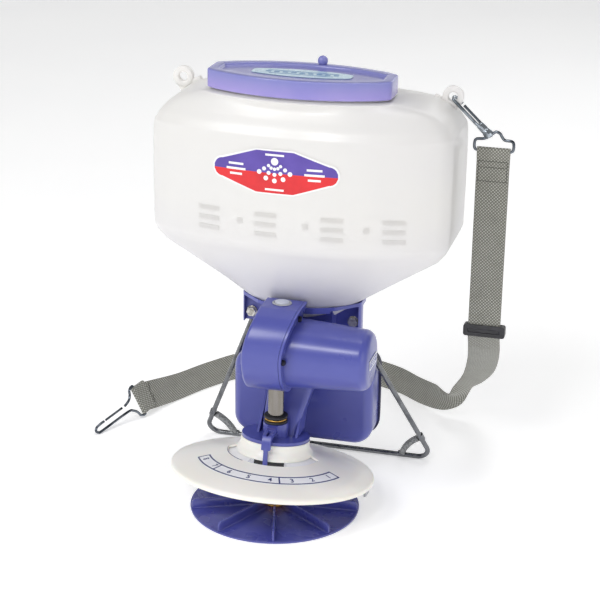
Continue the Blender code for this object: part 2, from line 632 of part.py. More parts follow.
def motor_profile(inset):
    end = MOTOR_X1 - inset
    return [(MOTOR_R0 - inset, CASE_X1 + GAP), (MOTOR_R1 + 1.6 - inset, end - 12),
            (MOTOR_R1 - 0.6 - inset, end - 6), (MOTOR_R1 - 5 - inset, end - 1.6),
            (MOTOR_R1 - 10 - inset, end), (0, end)]


def make_motor_housing():
    along_x = toward((1, 0, 0))
    centre = (0, 0, MOTOR_Z)
    profile = [(0, CASE_X1 + GAP)] + motor_profile(0)
    housing = solid("motor_housing", "blue_plastic", *turned(profile, 24), centre, along_x)
    join(housing, *case_body(0, CASE_X1 + GAP, CASE_X1 + FLANGE_THICK, 0.5))
    cut(housing, *case_body(-6, CASE_X0 - 20, CASE_X1 + GAP, 4))
    hollow = motor_profile(CASE_WALL)
    hollow = [(0, CASE_X1 - 4), (hollow[0][0], CASE_X1 - 4)] + hollow[1:]
    cut(housing, *turned(hollow, 24), along_x, centre)
    solid("motor_mount_plate", "steel", *tube(12, MOTOR_R0 - 5.6, 35, 38, 20), centre, along_x)
    solid("motor_can", "steel",
          *turned([(0, 38.3), (9, 38.3), (9, 39.5), (26, 39.5), (27.5, 41), (27.5, 92), (26, 94),
                   (7, 94), (7, 98), (0, 98)], 18), centre, along_x)
    label = [(0, MOTOR_X1 + GAP), (18, MOTOR_X1 + GAP), (18, MOTOR_X1 + 0.8), (0, MOTOR_X1 + 0.8)]
    solid("motor_end_label", "sticker", *turned(label, 20), centre, along_x)
    for number, (y, z) in enumerate(CASE_SCREWS, 1):
        seat = CASE_X1 + case_lean(z + 3.6) + FLANGE_THICK + GAP
        screw = [(0, seat), (3.6, seat), (3.6, seat + 2.4), (2.4, seat + 3.6), (0, seat + 3.6)]
        solid(f"case_screw_{number}", "steel", *turned(screw, 12), (0, y, z), along_x)


# ---- drive -----------------------------------------------------------------------------
def tooth_ring(teeth, scale, pitch_r, pitch_h, normal, start, root_share, tip_share):
    """One ring of a bevel gear in (r, height), four points to a tooth."""
    ring = []
    step = 360 / teeth
    for i in range(teeth):
        middle = start + i * step
        for share, lift in ((-root_share, -1.5), (-tip_share, 1.15), (tip_share, 1.15),
                            (root_share, -1.5)):
            radius = (pitch_r + lift * normal[0]) * scale
            angle = radians(middle + share * step)
            ring.append((radius * cos(angle), radius * sin(angle),
                         (pitch_h + lift * normal[1]) * scale))
    return ring


def plain_ring(like, radius, height):
    return [(radius * cos(atan2(y, x)), radius * sin(atan2(y, x)), height) for x, y, _ in like]


def make_drive():
    gear_r, pinion_r = GEAR_TEETH * GEAR_MODULE / 2, PINION_TEETH * GEAR_MODULE / 2
    span = hypot(gear_r, pinion_r)
    inner = 0.66
    normal = (pinion_r / span, gear_r / span)
    rings = [tooth_ring(GEAR_TEETH, s, gear_r, -pinion_r, normal, 0, 0.21, 0.1) for s in (1, inner)]
    bore = SHAFT_R + 0.2
    face = (-pinion_r - 1.6) * inner
    gear = [plain_ring(rings[0], bore, -pinion_r - 9), plain_ring(rings[0], gear_r - 3, -pinion_r - 7)]
    gear += rings + [plain_ring(rings[0], bore, face - 1)]
    solid("bevel_gear", "brass", *loft(gear, closed_loop=True), origin=(0, 0, MOTOR_Z))
    normal = (gear_r / span, -pinion_r / span)
    rings = [tooth_ring(PINION_TEETH, s, pinion_r, gear_r, normal, 180 / PINION_TEETH, 0.21, 0.1)
             for s in (1, inner)]
    back = gear_r + 4
    pinion = [plain_ring(rings[0], 2.0, back + 11), plain_ring(rings[0], 2.0, back + 0.5),
              plain_ring(rings[0], 6.4, back)] + rings
    along_x = Matrix(((0, 0, 1), (0, 1, 0), (-1, 0, 0)))
    solid("motor_pinion", "brass", *loft(pinion), origin=(0, 0, MOTOR_Z), turn=along_x)
    shaft_top = MOTOR_Z - pinion_r - 0.5
    solid("spinner_shaft", "steel", *disc(SHAFT_R, SPINNER_PLATE + 0.6, shaft_top, 20))
    bearing_z = CASE_FOOT_Z + CASE_WALL + GAP
    solid("upper_bearing", "steel", *tube(SHAFT_R + 0.3, 11, bearing_z, bearing_z + 7, 24))
    solid("lower_bush", "brass", *tube(SHAFT_R + 0.3, BUSH_R, HUB_TOP - 15.6, HUB_TOP - 0.4, 20))
    solid("shaft_sleeve", "zinc", *tube(SHAFT_R + 0.5, SLEEVE_R, HUB_TOP + 9.2, bearing_z - GAP, 24))
    rings = (("hub_seal", "black_rubber", 0.3, 2.9, 13.6), ("brass_ring", "brass", 3.2, 5.6, 12.6),
             ("dust_ring", "black_rubber", 5.9, 8.9, 13.8))
    for name, slot, low, high, radius in rings:
        middle, half = HUB_TOP + (low + high) / 2, (high - low) / 2
        profile = [(SHAFT_R + 0.5, middle - half), (radius - half * 0.5, middle - half),
                   (radius, middle - half * 0.3), (radius, middle + half * 0.3),
                   (radius - half * 0.5, middle + half), (SHAFT_R + 0.5, middle + half)]
        solid(name, slot, *turned(profile, 14, closed_loop=True))


# ---- deflector and spinner -------------------------------------------------------------
def make_guard():
    tilt = toward(GUARD_AXIS)
    guard = solid("deflector_guard", "cream_plastic",
                  *turned(GUARD_OUTER + GUARD_INNER, 40, closed_loop=True), GUARD_C, tilt)
    cut(guard, *arc_band(SLOT_R0 - 1.5, SLOT_R1, SLOT_FROM, SLOT_TO, 12, 30, 20), tilt, GUARD_C)
    solid("guard_skirt", "grey_plastic", *arc_band(110.6, 113.2, 346, 520, -13, -1.8, 18),
          GUARD_C, tilt)


def make_spinner():
    top = SPINNER_PLATE + FIN_HEIGHT
    plate = [(0, 0), (SPINNER_R - 1, 0), (SPINNER_R, 1), (SPINNER_R, SPINNER_PLATE),
             (12, SPINNER_PLATE), (10, top - 1), (0, top - 1)]
    spinner = solid("spinner_disc", "blue_plastic", *turned(plate, 45))
    for i in range(FIN_COUNT):
        fin = [(7, SPINNER_PLATE - 1), (SPINNER_R - 1.5, SPINNER_PLATE - 1), (SPINNER_R - 1.5, top - 2),
               (SPINNER_R - 4, top), (7, top)]
        turn = Matrix.Rotation(radians(FIN_FIRST + i * 360 / FIN_COUNT), 3, "Z")
        join(spinner, *extrusion(fin, -FIN_THICK / 2, FIN_THICK / 2, "y"), turn)
    cut(spinner, *disc(SHAFT_R + 0.3, SPINNER_PLATE + GAP, top + 5, 20))
    nut = arc(0, 0, 6.4, 0, 360, 6)[:-1]
    made = solid("spinner_nut", "brass", *extrusion(nut, top + 1.0, top + 7.5))
    join(made, *disc(8, top + GAP, top + 1.6, 24))
    cut(made, *disc(SHAFT_R + 0.3, top - 5, top + 12, 16))


# ---- battery box -----------------------------------------------------------------------
def box_ring(inset, y):
    outline = rounded_rect(BOX_X0 + inset, BOX_Z0 + inset, BOX_X1 - inset, BOX_Z1 - inset,
                           BOX_CORNER - inset)
    return [(x, y, z) for x, z in outline]


def make_battery_box():
    shell = solid("battery_case", "blue_plastic", *loft([
        box_ring(9, BOX_Y0), box_ring(3.2, BOX_Y0 + 2.4), box_ring(0.6, BOX_Y0 + 7),
        box_ring(0, BOX_Y0 + 12), box_ring(0, BOX_SPLIT_Y), box_ring(BOX_WALL, BOX_SPLIT_Y),
        box_ring(BOX_WALL, BOX_Y0 + 12), box_ring(7.5, BOX_Y0 + 3.4)]))
    seal_end = BOX_SPLIT_Y + GAP + 3
    gasket = solid("battery_gasket", "navy_rubber", *loft([
        box_ring(-0.8, BOX_SPLIT_Y + GAP), box_ring(-0.8, seal_end), box_ring(3.4, seal_end),
        box_ring(3.4, BOX_SPLIT_Y + GAP)], closed_loop=True))
    door_y = seal_end + GAP
    door = solid("battery_door", "navy_rubber", *loft([
        box_ring(9, BOX_Y1), box_ring(3.2, BOX_Y1 - 2.4), box_ring(0.6, BOX_Y1 - 7),
        box_ring(0, BOX_Y1 - 12), box_ring(0, door_y), box_ring(BOX_WALL, door_y),
        box_ring(BOX_WALL, BOX_Y1 - 12), box_ring(7.5, BOX_Y1 - 3.4)]))
    for x0, x1, owner, arm in ((HINGE_X - 21, HINGE_X - 12.3, shell, (-8, -2)),
                               (HINGE_X + 12.3, HINGE_X + 21, shell, (-8, -2)),
                               (HINGE_X - 12, HINGE_X + 12, door, (2.2, 8))):
        knuckle = arc(HINGE_Y, HINGE_Z, 3.4, 0, 360, 14)[:-1]
        join(owner, *extrusion(knuckle, x0, x1, "x"))
        y0, y1 = HINGE_Y + arm[0], HINGE_Y + arm[1]
        join(owner, *block((x0 + 0.1, y0, HINGE_Z - 1.2), (x1 - 0.1, y1, BOX_Z0 + 1.6)))
        bore = arc(HINGE_Y, HINGE_Z, 1.7, 0, 360, 12)[:-1]
        cut(owner, *extrusion(bore, x0 - 3, x1 + 3, "x"))
    set_pivot(door, (HINGE_X, HINGE_Y, HINGE_Z))
    set_pivot(gasket, (HINGE_X, HINGE_Y, HINGE_Z))
    pin = arc(HINGE_Y, HINGE_Z, 1.4, 0, 360, 12)[:-1]
    solid("battery_hinge_pin", "steel", *extrusion(pin, HINGE_X - 22, HINGE_X + 22, "x"))
    latch = rounded_rect(TANK_X - 10, 106, TANK_X + 10, BOX_Y1 - 12, 3, 2)
    made = solid("battery_latch", "blue_plastic",
                 *extrusion(latch, BOX_Z1 + LATCH_LIFT, BOX_Z1 + LATCH_LIFT + 3.2))
    cut(made, *block((TANK_X - 14, 116, BOX_Z1 + LATCH_LIFT + 2.2), (TANK_X + 14, 119, BOX_Z1 + 9)))
    make_cells()


def make_cells():
    centre_y = BOX_Y0 + 26
    xs = [HINGE_X + (i - (CELL_COUNT - 1) / 2) * CELL_PITCH for i in range(CELL_COUNT)]
    floor = BOX_Z0 + 13
    low_x, high_x, front, back = xs[0] - 18.4, xs[-1] + 18.4, centre_y - 18.6, centre_y + 18.6
    tray = solid("battery_tray", "black_plastic",
                 *block((low_x, front, floor), (high_x, back, floor + 26)))
    cut(tray, *block((low_x + 1.4, front + 1.6, floor + 1.6), (high_x - 1.4, back - 1.6, floor + 40)))
    solid("contact_strip_lower", "brass",
          *block((xs[0] - 8, centre_y - 5, floor + 1.9), (xs[-1] + 8, centre_y + 5, floor + 2.7)))
    base = floor + 3.0
    cell = [(0, 0), (CELL_R - 1, 0), (CELL_R, 1), (CELL_R, CELL_LENGTH - 3.5),
            (CELL_R - 1, CELL_LENGTH - 2.5), (4.7, CELL_LENGTH - 2.5), (4.7, CELL_LENGTH),
            (0, CELL_LENGTH)]
    for number, x in enumerate(xs, 1):
        solid(f"battery_cell_{number}", "cell_wrap", *turned(cell, 12), origin=(x, centre_y, base))
    top = base + CELL_LENGTH + GAP
    solid("contact_strip_upper", "brass",
          *block((xs[0] - 8, centre_y - 5, top), (xs[-1] + 8, centre_y + 5, top + 0.8)))


# ---- stand -----------------------------------------------------------------------------
def sweep(path, radius, sides=8):
    """A round bar along a path; its frame is carried along without twisting."""
    path = [Vector(p) for p in path]
    tangents = [(path[min(i + 1, len(path) - 1)] - path[max(i - 1, 0)]).normalized()
                for i in range(len(path))]
    side = tangents[0].orthogonal().normalized()
    rings = []
    for point, tangent in zip(path, tangents):
        side = (side - tangent * side.dot(tangent)).normalized()
        other = tangent.cross(side)
        rings.append([point + radius * (side * cos(2 * pi * j / sides) + other * sin(2 * pi * j / sides))
                      for j in range(sides)])
    return loft(rings)


def stand_corner(side):
    top = Vector((TANK_X + side * BOLT_DX, WEB_Y1 + GAP + ROD_R, BOLT_Z))
    foot = Vector((FOOT_RIGHT_X if side > 0 else FOOT_LEFT_X, FOOT_Y, ROD_R))
    return top, foot


def make_stand():
    (top_l, foot_l), (top_r, foot_r) = stand_corner(-1), stand_corner(1)
    neck_l, neck_r = (top + Vector((side * 2, 0.8, -12)) for side, top in ((-1, top_l), (1, top_r)))
    path = [top_l + Vector((0, 0, -5.6)), neck_l + Vector((0.8, -0.6, 3)), neck_l]
    path += rounded_corner(neck_l, foot_l, foot_r, FOOT_BEND_R, 6)
    path += rounded_corner(foot_l, foot_r, neck_r, FOOT_BEND_R, 6)
    path += [neck_r, neck_r + Vector((-0.8, -0.6, 3)), top_r + Vector((0, 0, -5.6))]
    rod = solid("stand_frame", "steel", *sweep(path, ROD_R))
    for top in (top_l, top_r):
        outer = arc(top.x, top.z, 6.6, 0, 360, 16)[:-1]
        join(rod, *extrusion(outer, WEB_Y1 + GAP, WEB_Y1 + GAP + RING_THICK, "y"))
        inner = arc(top.x, top.z, 3.3, 0, 360, 12)[:-1]
        cut(rod, *extrusion(inner, WEB_Y1 - 6, WEB_Y1 + 12, "y"))
    for side, word in ((-1, "left"), (1, "right")):
        make_eye_strip(word, side)


def make_eye_strip(word, side):
    """Curved strip that closes the bend at the foot of the stand into an eye."""
    top, foot = stand_corner(side)
    up = (top - foot).normalized()
    along = Vector((-side, 0, 0))
    across = up.cross(along).normalized()
    lift = ROD_R + GAP + 1.0
    inner_up = across.cross(up) * (1 if across.cross(up).dot(along) > 0 else -1)
    inner_along = (up - along * up.dot(along)).normalized()
    a = foot + up * EYE_REACH + inner_up * lift
    d = foot + along * EYE_REACH + inner_along * lift
    centre = foot + (up + along) * EYE_REACH / 2
    bulge = (a + d) / 2 + ((a + d) / 2 - centre) * 0.16 + (up + along) * 1.5
    path = smooth_path([a, (a * 3 + d) / 4 + (bulge - (a + d) / 2) * 0.75, bulge,
                        (a + 3 * d) / 4 + (bulge - (a + d) / 2) * 0.75, d], 3)
    rings = []
    for i, point in enumerate(path):
        ahead = (path[min(i + 1, len(path) - 1)] - path[max(i - 1, 0)]).normalized()
        thick = ahead.cross(across).normalized()
        rings.append([point + across * (EYE_HALF_W * u) + thick * v
                      for u, v in ((-1, -1), (1, -1), (1, 1), (-1, 1))])
    solid(f"eye_strip_{word}", "grey_vinyl", *loft(rings))


# ---- strap and fittings ----------------------------------------------------------------
def strap_rings(path, widths, half_width, half_thick):
    rings = []
    for i, point in enumerate(path):
        ahead = (path[min(i + 1, len(path) - 1)] - path[max(i - 1, 0)]).normalized()
        across = (widths[i] - ahead * widths[i].dot(ahead)).normalized()
        thick = ahead.cross(across)
        rings.append([point + across * (half_width * u) + thick * (half_thick * v)
                      for u, v in ((-1, -1), (1, -1), (1, 1), (-1, 1))])
    return rings


def strap_path(per_span):
    """Centre line of the webbing below the buckle and the direction of its width."""
    path = smooth_path([point for point, _ in STRAP_ROUTE], per_span)
    widths = smooth_path([across for _, across in STRAP_ROUTE], per_span)
    return path, widths


def make_strap():
    low, high = STRAP_BUCKLE_Z - 5.5, STRAP_TOP_Z
    solid("strap_upper", "webbing",
          *block((STRAP_X - STRAP_W / 2, STRAP_Y - STRAP_T, low),
                 (STRAP_X + STRAP_W / 2, STRAP_Y + STRAP_T, high)))
    path, widths = strap_path(2)
    solid("strap_lower", "webbing", *loft(strap_rings(path, widths, STRAP_W / 2, STRAP_T / 2)))
    half = STRAP_W / 2 + 0.5
    frame = rounded_rect(STRAP_X - 23.5, STRAP_BUCKLE_Z - 7, STRAP_X + 24.5, STRAP_BUCKLE_Z + 7, 3, 2)
    buckle = solid("strap_buckle", "black_plastic",
                   *extrusion(frame, STRAP_Y - 5.2, STRAP_Y + 5.2, "y"))
    cut(buckle, *block((STRAP_X - half, STRAP_Y - STRAP_T - 0.5, STRAP_BUCKLE_Z - 20),
                       (STRAP_X + half, STRAP_Y + STRAP_T + 0.5, STRAP_BUCKLE_Z + 20)))


def hook_base(half_width, depth, neck_half, neck_start):
    """Outline (along, across) of the wire that holds the webbing and closes to a neck."""
    side = [(neck_start, neck_half), (depth + 6, neck_half + 3), (depth + 1, half_width - 7),
            (depth - 1, half_width - 2), (depth - 5, half_width + 0.6), (2.5, half_width + 0.4),
            (0, half_width - 2.5)]
    return side + [(along, -across) for along, across in side[::-1]]


def make_right_hook():
    bar_z = STRAP_TOP_Z + GAP + HOOK_WIRE_R
    swivel = Vector((STRAP_X - 9.5, STRAP_Y, bar_z + 21))
    outline = hook_base(20.5, 9, 2.2, 19)
    lean = -9.5 / 19
    path = [(STRAP_X + across + max(0.0, along - 4) * lean * 19 / 15, STRAP_Y, bar_z + along)
            for along, across in outline]
    path = smooth_path(path, 2)
    solid("strap_loop_right", "steel", *sweep(path, HOOK_WIRE_R, 6))
    eye = Vector((TANK_X + LUG_X + 0.6, LUG_Y, LUG_Z - 1.0))
    reach = eye - swivel
    ahead = reach.normalized()
    start = swivel + ahead * 5.5
    spread = LUG_THICK / 2 + 3.6
    radius = 1.9
    front = [start + Vector((0, -2.4, 0)), start + ahead * 8 + Vector((0, -spread + 0.6, 0)),
             start + ahead * 16 + Vector((0, -spread, 0)), eye - ahead * 5 + Vector((0, -spread, 0)),
             eye - ahead * 1.2 + Vector((0, -spread + 1.6, 0)), eye + Vector((0, -1.5, 0)),
             eye + Vector((0, 1.5, 0)), eye - ahead * 1.2 + Vector((0, spread - 1.6, 0)),
             eye - ahead * 5 + Vector((0, spread, 0)), eye - ahead * 12.2 + Vector((0, spread, 0))]
    hook = solid("strap_hook_right", "steel", *sweep(smooth_path(front, 2), radius, 7))
    turn = toward(ahead)
    join(hook, *disc(4.4, 0, 8, 16), turn, swivel + ahead * 1.5)
    gate_foot = start + ahead * 4.2 + Vector((0, spread + 0.2, 0))
    gate_tip = eye - ahead * 14.6 + Vector((0, spread, 0))
    set_pivot(solid("hook_gate_right", "steel", *sweep([gate_foot, gate_tip], 1.6)), gate_foot)


def make_left_hook():
    """Wire hook at the webbing's free end, leaning down until its tip lies on the ground."""
    end, across = Vector(STRAP_ROUTE[-1][0]), -Vector(STRAP_ROUTE[-1][1]).normalized()
    tip = Vector(HOOK_TIP_LEFT)
    ahead = (tip - end).normalized()
    across = (across - ahead * across.dot(ahead)).normalized()
    length = (tip - end).length
    bar = HOOK_WIRE_R + 6.0

    def at(along, rise):
        return end + ahead * (along + bar) + across * rise

    reach = length - bar
    beak = [(reach - 9, -4.4), (reach - 3, -3.6), (reach, -0.2), (reach - 3, 3.2),
            (reach - 9, 4.2), (reach - 17, 4.4)]
    path = [at(*p) for p in hook_base(19.6, 9, 4.4, 24) + beak]
    solid("strap_hook_left", "steel", *sweep(smooth_path(path, 2), HOOK_WIRE_R, 6))
    gate = [at(29, 4.6), at(reach - 20, 4.4)]
    set_pivot(solid("hook_gate_left", "steel", *sweep(gate, 1.5)), gate[0])


# ---- build -----------------------------------------------------------------------------
def main():
    clear_scene()
    make_tank()
    make_label()
    make_lid()
    make_bracket()
    make_shutter()
    make_chute()
    make_drop_plate()
    make_pointer()
    make_gear_case()
    make_switch()
    make_motor_housing()
    make_drive()
    make_guard()
    make_spinner()
    make_battery_box()
    make_stand()
    make_strap()
    make_right_hook()
    make_left_hook()


main()
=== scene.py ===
"""The looks of a strap-carried broadcast spreader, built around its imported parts.

Frame: X to the right, Y from the front to the operator's side, Z up, and the origin on the
spinner's shaft in the plane that the spreader stands on. Sizes below are in millimetres;
mesh_object() turns them into metres. Every mesh keeps its place in its own vertices.
"""
from math import atan2, cos, pi, radians, sin, sqrt, tan

import bmesh
import bpy
from mathutils import Matrix, Vector


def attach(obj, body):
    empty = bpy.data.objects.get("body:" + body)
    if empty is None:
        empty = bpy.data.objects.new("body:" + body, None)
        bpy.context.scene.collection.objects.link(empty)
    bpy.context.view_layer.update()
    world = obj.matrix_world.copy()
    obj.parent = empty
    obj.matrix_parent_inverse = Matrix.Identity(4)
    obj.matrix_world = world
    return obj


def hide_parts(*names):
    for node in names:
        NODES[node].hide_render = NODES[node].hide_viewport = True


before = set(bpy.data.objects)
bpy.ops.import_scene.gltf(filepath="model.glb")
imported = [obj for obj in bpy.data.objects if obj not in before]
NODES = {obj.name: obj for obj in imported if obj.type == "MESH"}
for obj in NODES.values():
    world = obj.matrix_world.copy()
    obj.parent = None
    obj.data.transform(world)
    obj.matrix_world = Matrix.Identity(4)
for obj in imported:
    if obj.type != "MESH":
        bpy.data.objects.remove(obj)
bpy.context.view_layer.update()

MM = 0.001
GAP = 0.3           # clearance between neighbouring pieces

# ---- camera, in metres -------------------------------------------------------------------
CAMERA_AZIMUTH, CAMERA_ELEVATION, CAMERA_ROLL = radians(14.4), radians(20.0), radians(-1.0)
CAMERA_DISTANCE, CAMERA_LENS = 2.07, 108.0
CAMERA_TARGET = Vector((0.012, 0.075, 0.231))
TARGET_SHIFT = Vector((0.0053, 0.0035))      # where the target sits in the view

# ---- light -------------------------------------------------------------------------------
FLOOR_GLOW, WORLD_LIGHT = 0.36, 0.3
LIGHT_AIM = Vector((0.0, 0.08, 0.24))
LIGHTS = (  # name, place in metres, size, watts
    ("key", (-1.3, -1.9, 2.2), 1.1, 25.0),
    ("front", (-0.2, -2.2, 2.3), 0.55, 14.0),
    ("fill", (1.9, -1.2, 1.1), 1.3, 5.0),
    ("top", (0.2, 0.2, 2.6), 0.9, 8.5),
    ("back", (0.6, 2.2, 1.6), 1.2, 6.0),
)

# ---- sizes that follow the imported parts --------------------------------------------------
TANK_X, TANK_Y, BODY_X = 12.0, 75.0, 16.0
TANK_HALF_W, TANK_HALF_D, TANK_END_HALF_D, TANK_WALL = 169.0, 95.0, 62.0, 3.0
FUNNEL_Z, FUNNEL_HALF_W, FUNNEL_HALF_D, FUNNEL_END_D, FUNNEL_CORNER = 236.0, 67.0, 47.0, 14.0, 9.0
STRAIGHT_Z0, STRAIGHT_Z1, TANK_TOP_Z, MOUTH_RIM_Z = 311.0, 440.0, 477.0, 492.5
OUTLET_HALF_W, OUTLET_HALF_D, OUTLET_Z = 32.0, 24.0, 207.0
LUG_X, LUG_Y, LUG_Z, LUG_R, LUG_HOLE_R, LUG_THICK = 156.0, 110.0, 471.0, 12.0, 5.2, 8.0
MOUTH_Y = 47.0
LID_HALF_W, LID_HALF_D, LID_END_HALF_D, LID_CORNER = 103.0, 48.0, 21.0, 9.0
LID_TOP_Z, LID_SKIRT_Z, LID_WALL, LID_PANEL_DROP = 501.0, 481.0, 2.6, 3.0
KNOB_R, KNOB_SINK = 5.8, 4.0
LABEL_X, LABEL_Z, LABEL_HALF, LABEL_RISE, LABEL_END = 0.5, 404.5, 71.0, 25.0, 12.0
EMBOSS_LOW_Z, EMBOSS_PITCH = 331, 11

BRACKET_Z0 = 200.0
CASE_X0, CASE_X1, CASE_Z, CASE_R, CASE_TOP_Z, CASE_BACK_Y = -28.0, 15.0, 199.0, 51.0, 247.5, 24.0
CASE_LEAN, CASE_FOOT_Z, CASE_WALL, FLANGE_THICK = 12.0, 149.0, 2.6, 3.3
SWITCH_X, SWITCH_Y, SWITCH_HALF_W, SWITCH_HALF_D = 4.5, 3.5, 9.5, 8.5
MOTOR_Z, MOTOR_X1, MOTOR_R0, MOTOR_R1 = 192.0, 110.0, 40.0, 33.5
PLATE_HALF_W, PLATE_HALF_H, PLATE_BORDER = 17.2, 5.6, 1.5

GUARD_C = Vector((-3.0, 0.0, 46.0))
GUARD_AXIS = Vector((0.039, 0.149, 0.988)).normalized()
GUARD_R, NECK_R_IN, NECK_R_OUT, NECK_TOP = 117.0, 37.0, 39.5, 38.0
GUARD_PROFILE = [(GUARD_R - 2, 2.2), (100, 6.8), (72, 14.0), (54, 18.7), (44, 22.8), (NECK_R_OUT, 31)]
SLOT_R0, SLOT_R1, SLOT_FROM, SLOT_TO = 45.0, 53.0, 183.0, 357.0
WINDOW_FROM, WINDOW_TO = 247, 303
SCALE_R0, SCALE_R1, SCALE_FROM, SCALE_TO = 72.5, 88.5, 203.0, 344.0
SCALE_DIGITS, DIGIT_HEIGHT, SCALE_LINE, PRINT_LIFT = 8, 9.5, 1.6, 0.24
SPINNER_R, SPINNER_PLATE, SPINNER_BOSS = 97.5, 2.6, 1.2
FIN_COUNT, FIN_FIRST, FIN_HEIGHT, FIN_THICK = 9, -75.6, 11.5, 2.4
HUB_R, HUB_TOP, BUSH_R, SHAFT_R, SLEEVE_R = 14.2, 105.5, 8.0, 4.0, 9.0

HINGE_X, HINGE_Y, HINGE_Z = 10.0, 118.0, 46.6
BOX_X0, BOX_X1, BOX_Z0, BOX_Z1 = -74.0, 94.0, 51.0, 156.0
BOX_Y0, BOX_SPLIT_Y, BOX_Y1, BOX_CORNER, BOX_WALL = 76.0, 116.0, 142.0, 22.0, 2.5
SEAL_OUT, SEAL_IN = -2.4, 3.4

ROD_R = 3.0
BOLT_DX, BOLT_Z, WEB_Y1 = 60.0, 211.0, 72.0
FOOT_LEFT_X, FOOT_RIGHT_X, FOOT_Y, FOOT_BEND_R = -138.0, 153.0, 172.0, 14.0
EYE_REACH, RING_THICK = 38.0, 5.4

STRAP_W, STRAP_T, STRAP_X, STRAP_Y = 37.0, 2.0, 216.0, 110.0
STRAP_TOP_Z, STRAP_BUCKLE_Z, HOOK_WIRE_R = 411.0, 200.5, 1.7
STRAP_ROUTE = [  # places along the lower webbing, each with the direction of its width
    ((216, 110, 193.5), (1, 0, 0)), ((213.5, 135, 166), (1, 0.1, 0)),
    ((205.5, 185, 131), (0.95, 0.25, -0.1)), ((194, 235, 95.6), (0.8, 0.55, -0.2)),
    ((182, 261, 73), (0.6, 0.75, -0.3)), ((172, 274, 59), (0.35, 0.85, -0.4)),
    ((162, 284, 44.5), (0.1, 0.85, -0.5)), ((150, 294, 34), (0, 0.6, -0.8)),
    ((132, 309, 26), (0, 0.25, -0.97)), ((104, 336, 20.5), (0, 0.06, -1)),
    ((70, 366, 19.3), (0, 0, -1)), ((24, 387, 19.3), (0, 0, -1)), ((-30, 396, 19.3), (0, 0, -1)),
    ((-90, 388, 19.3), (0, 0, -1)), ((-142, 358, 19.3), (0, 0, -1)),
    ((-178, 308, 19.3), (0, 0, -1)), ((-205, 254, 20.0), (0.08, 0, -1)),
    ((-231, 200, 25.2), (0.42, 0.1, -0.88)),
]
HOOK_TIP_LEFT = (-267.0, 124.0, 4.9)
FOLD_SHARES = (-1, -0.97, -0.5, 0, 0.5, 0.97, 1)

NODE_FINISH = {
    "hopper_bracket": "blue_plastic", "stand_bolt_left": "bright_steel", "stand_bolt_right": "bright_steel",
    "stand_nut_left": "bright_steel", "stand_nut_right": "bright_steel", "shutter_plate": "steel",
    "shutter_grip": "blue_plastic", "motor_mount_plate": "steel", "motor_can": "steel",
    "case_screw_1": "screw_pocket_shade", "case_screw_2": "screw_pocket_shade", "bevel_gear": "brass",
    "motor_pinion": "brass", "spinner_shaft": "steel", "upper_bearing": "steel",
    "lower_bush": "brass", "spinner_nut": "brass", "battery_hinge_pin": "steel",
    "battery_latch": "blue_plastic", "battery_tray": "black_plastic",
    "contact_strip_lower": "brass", "contact_strip_upper": "brass",
}
EDGE_WIDTH = {"hopper_bracket": 0.8, "battery_latch": 0.8, "shutter_grip": 1.2, "bevel_gear": 0.15,
              "motor_pinion": 0.15}


# ---- finishes ----------------------------------------------------------------------------
def screen(colour):
    """A colour given as it looks on a screen, 0 to 255, as linear light with full cover."""
    return (*(((c / 255 + 0.055) / 1.055) ** 2.4 if c > 10 else c / 3295 for c in colour), 1.0)


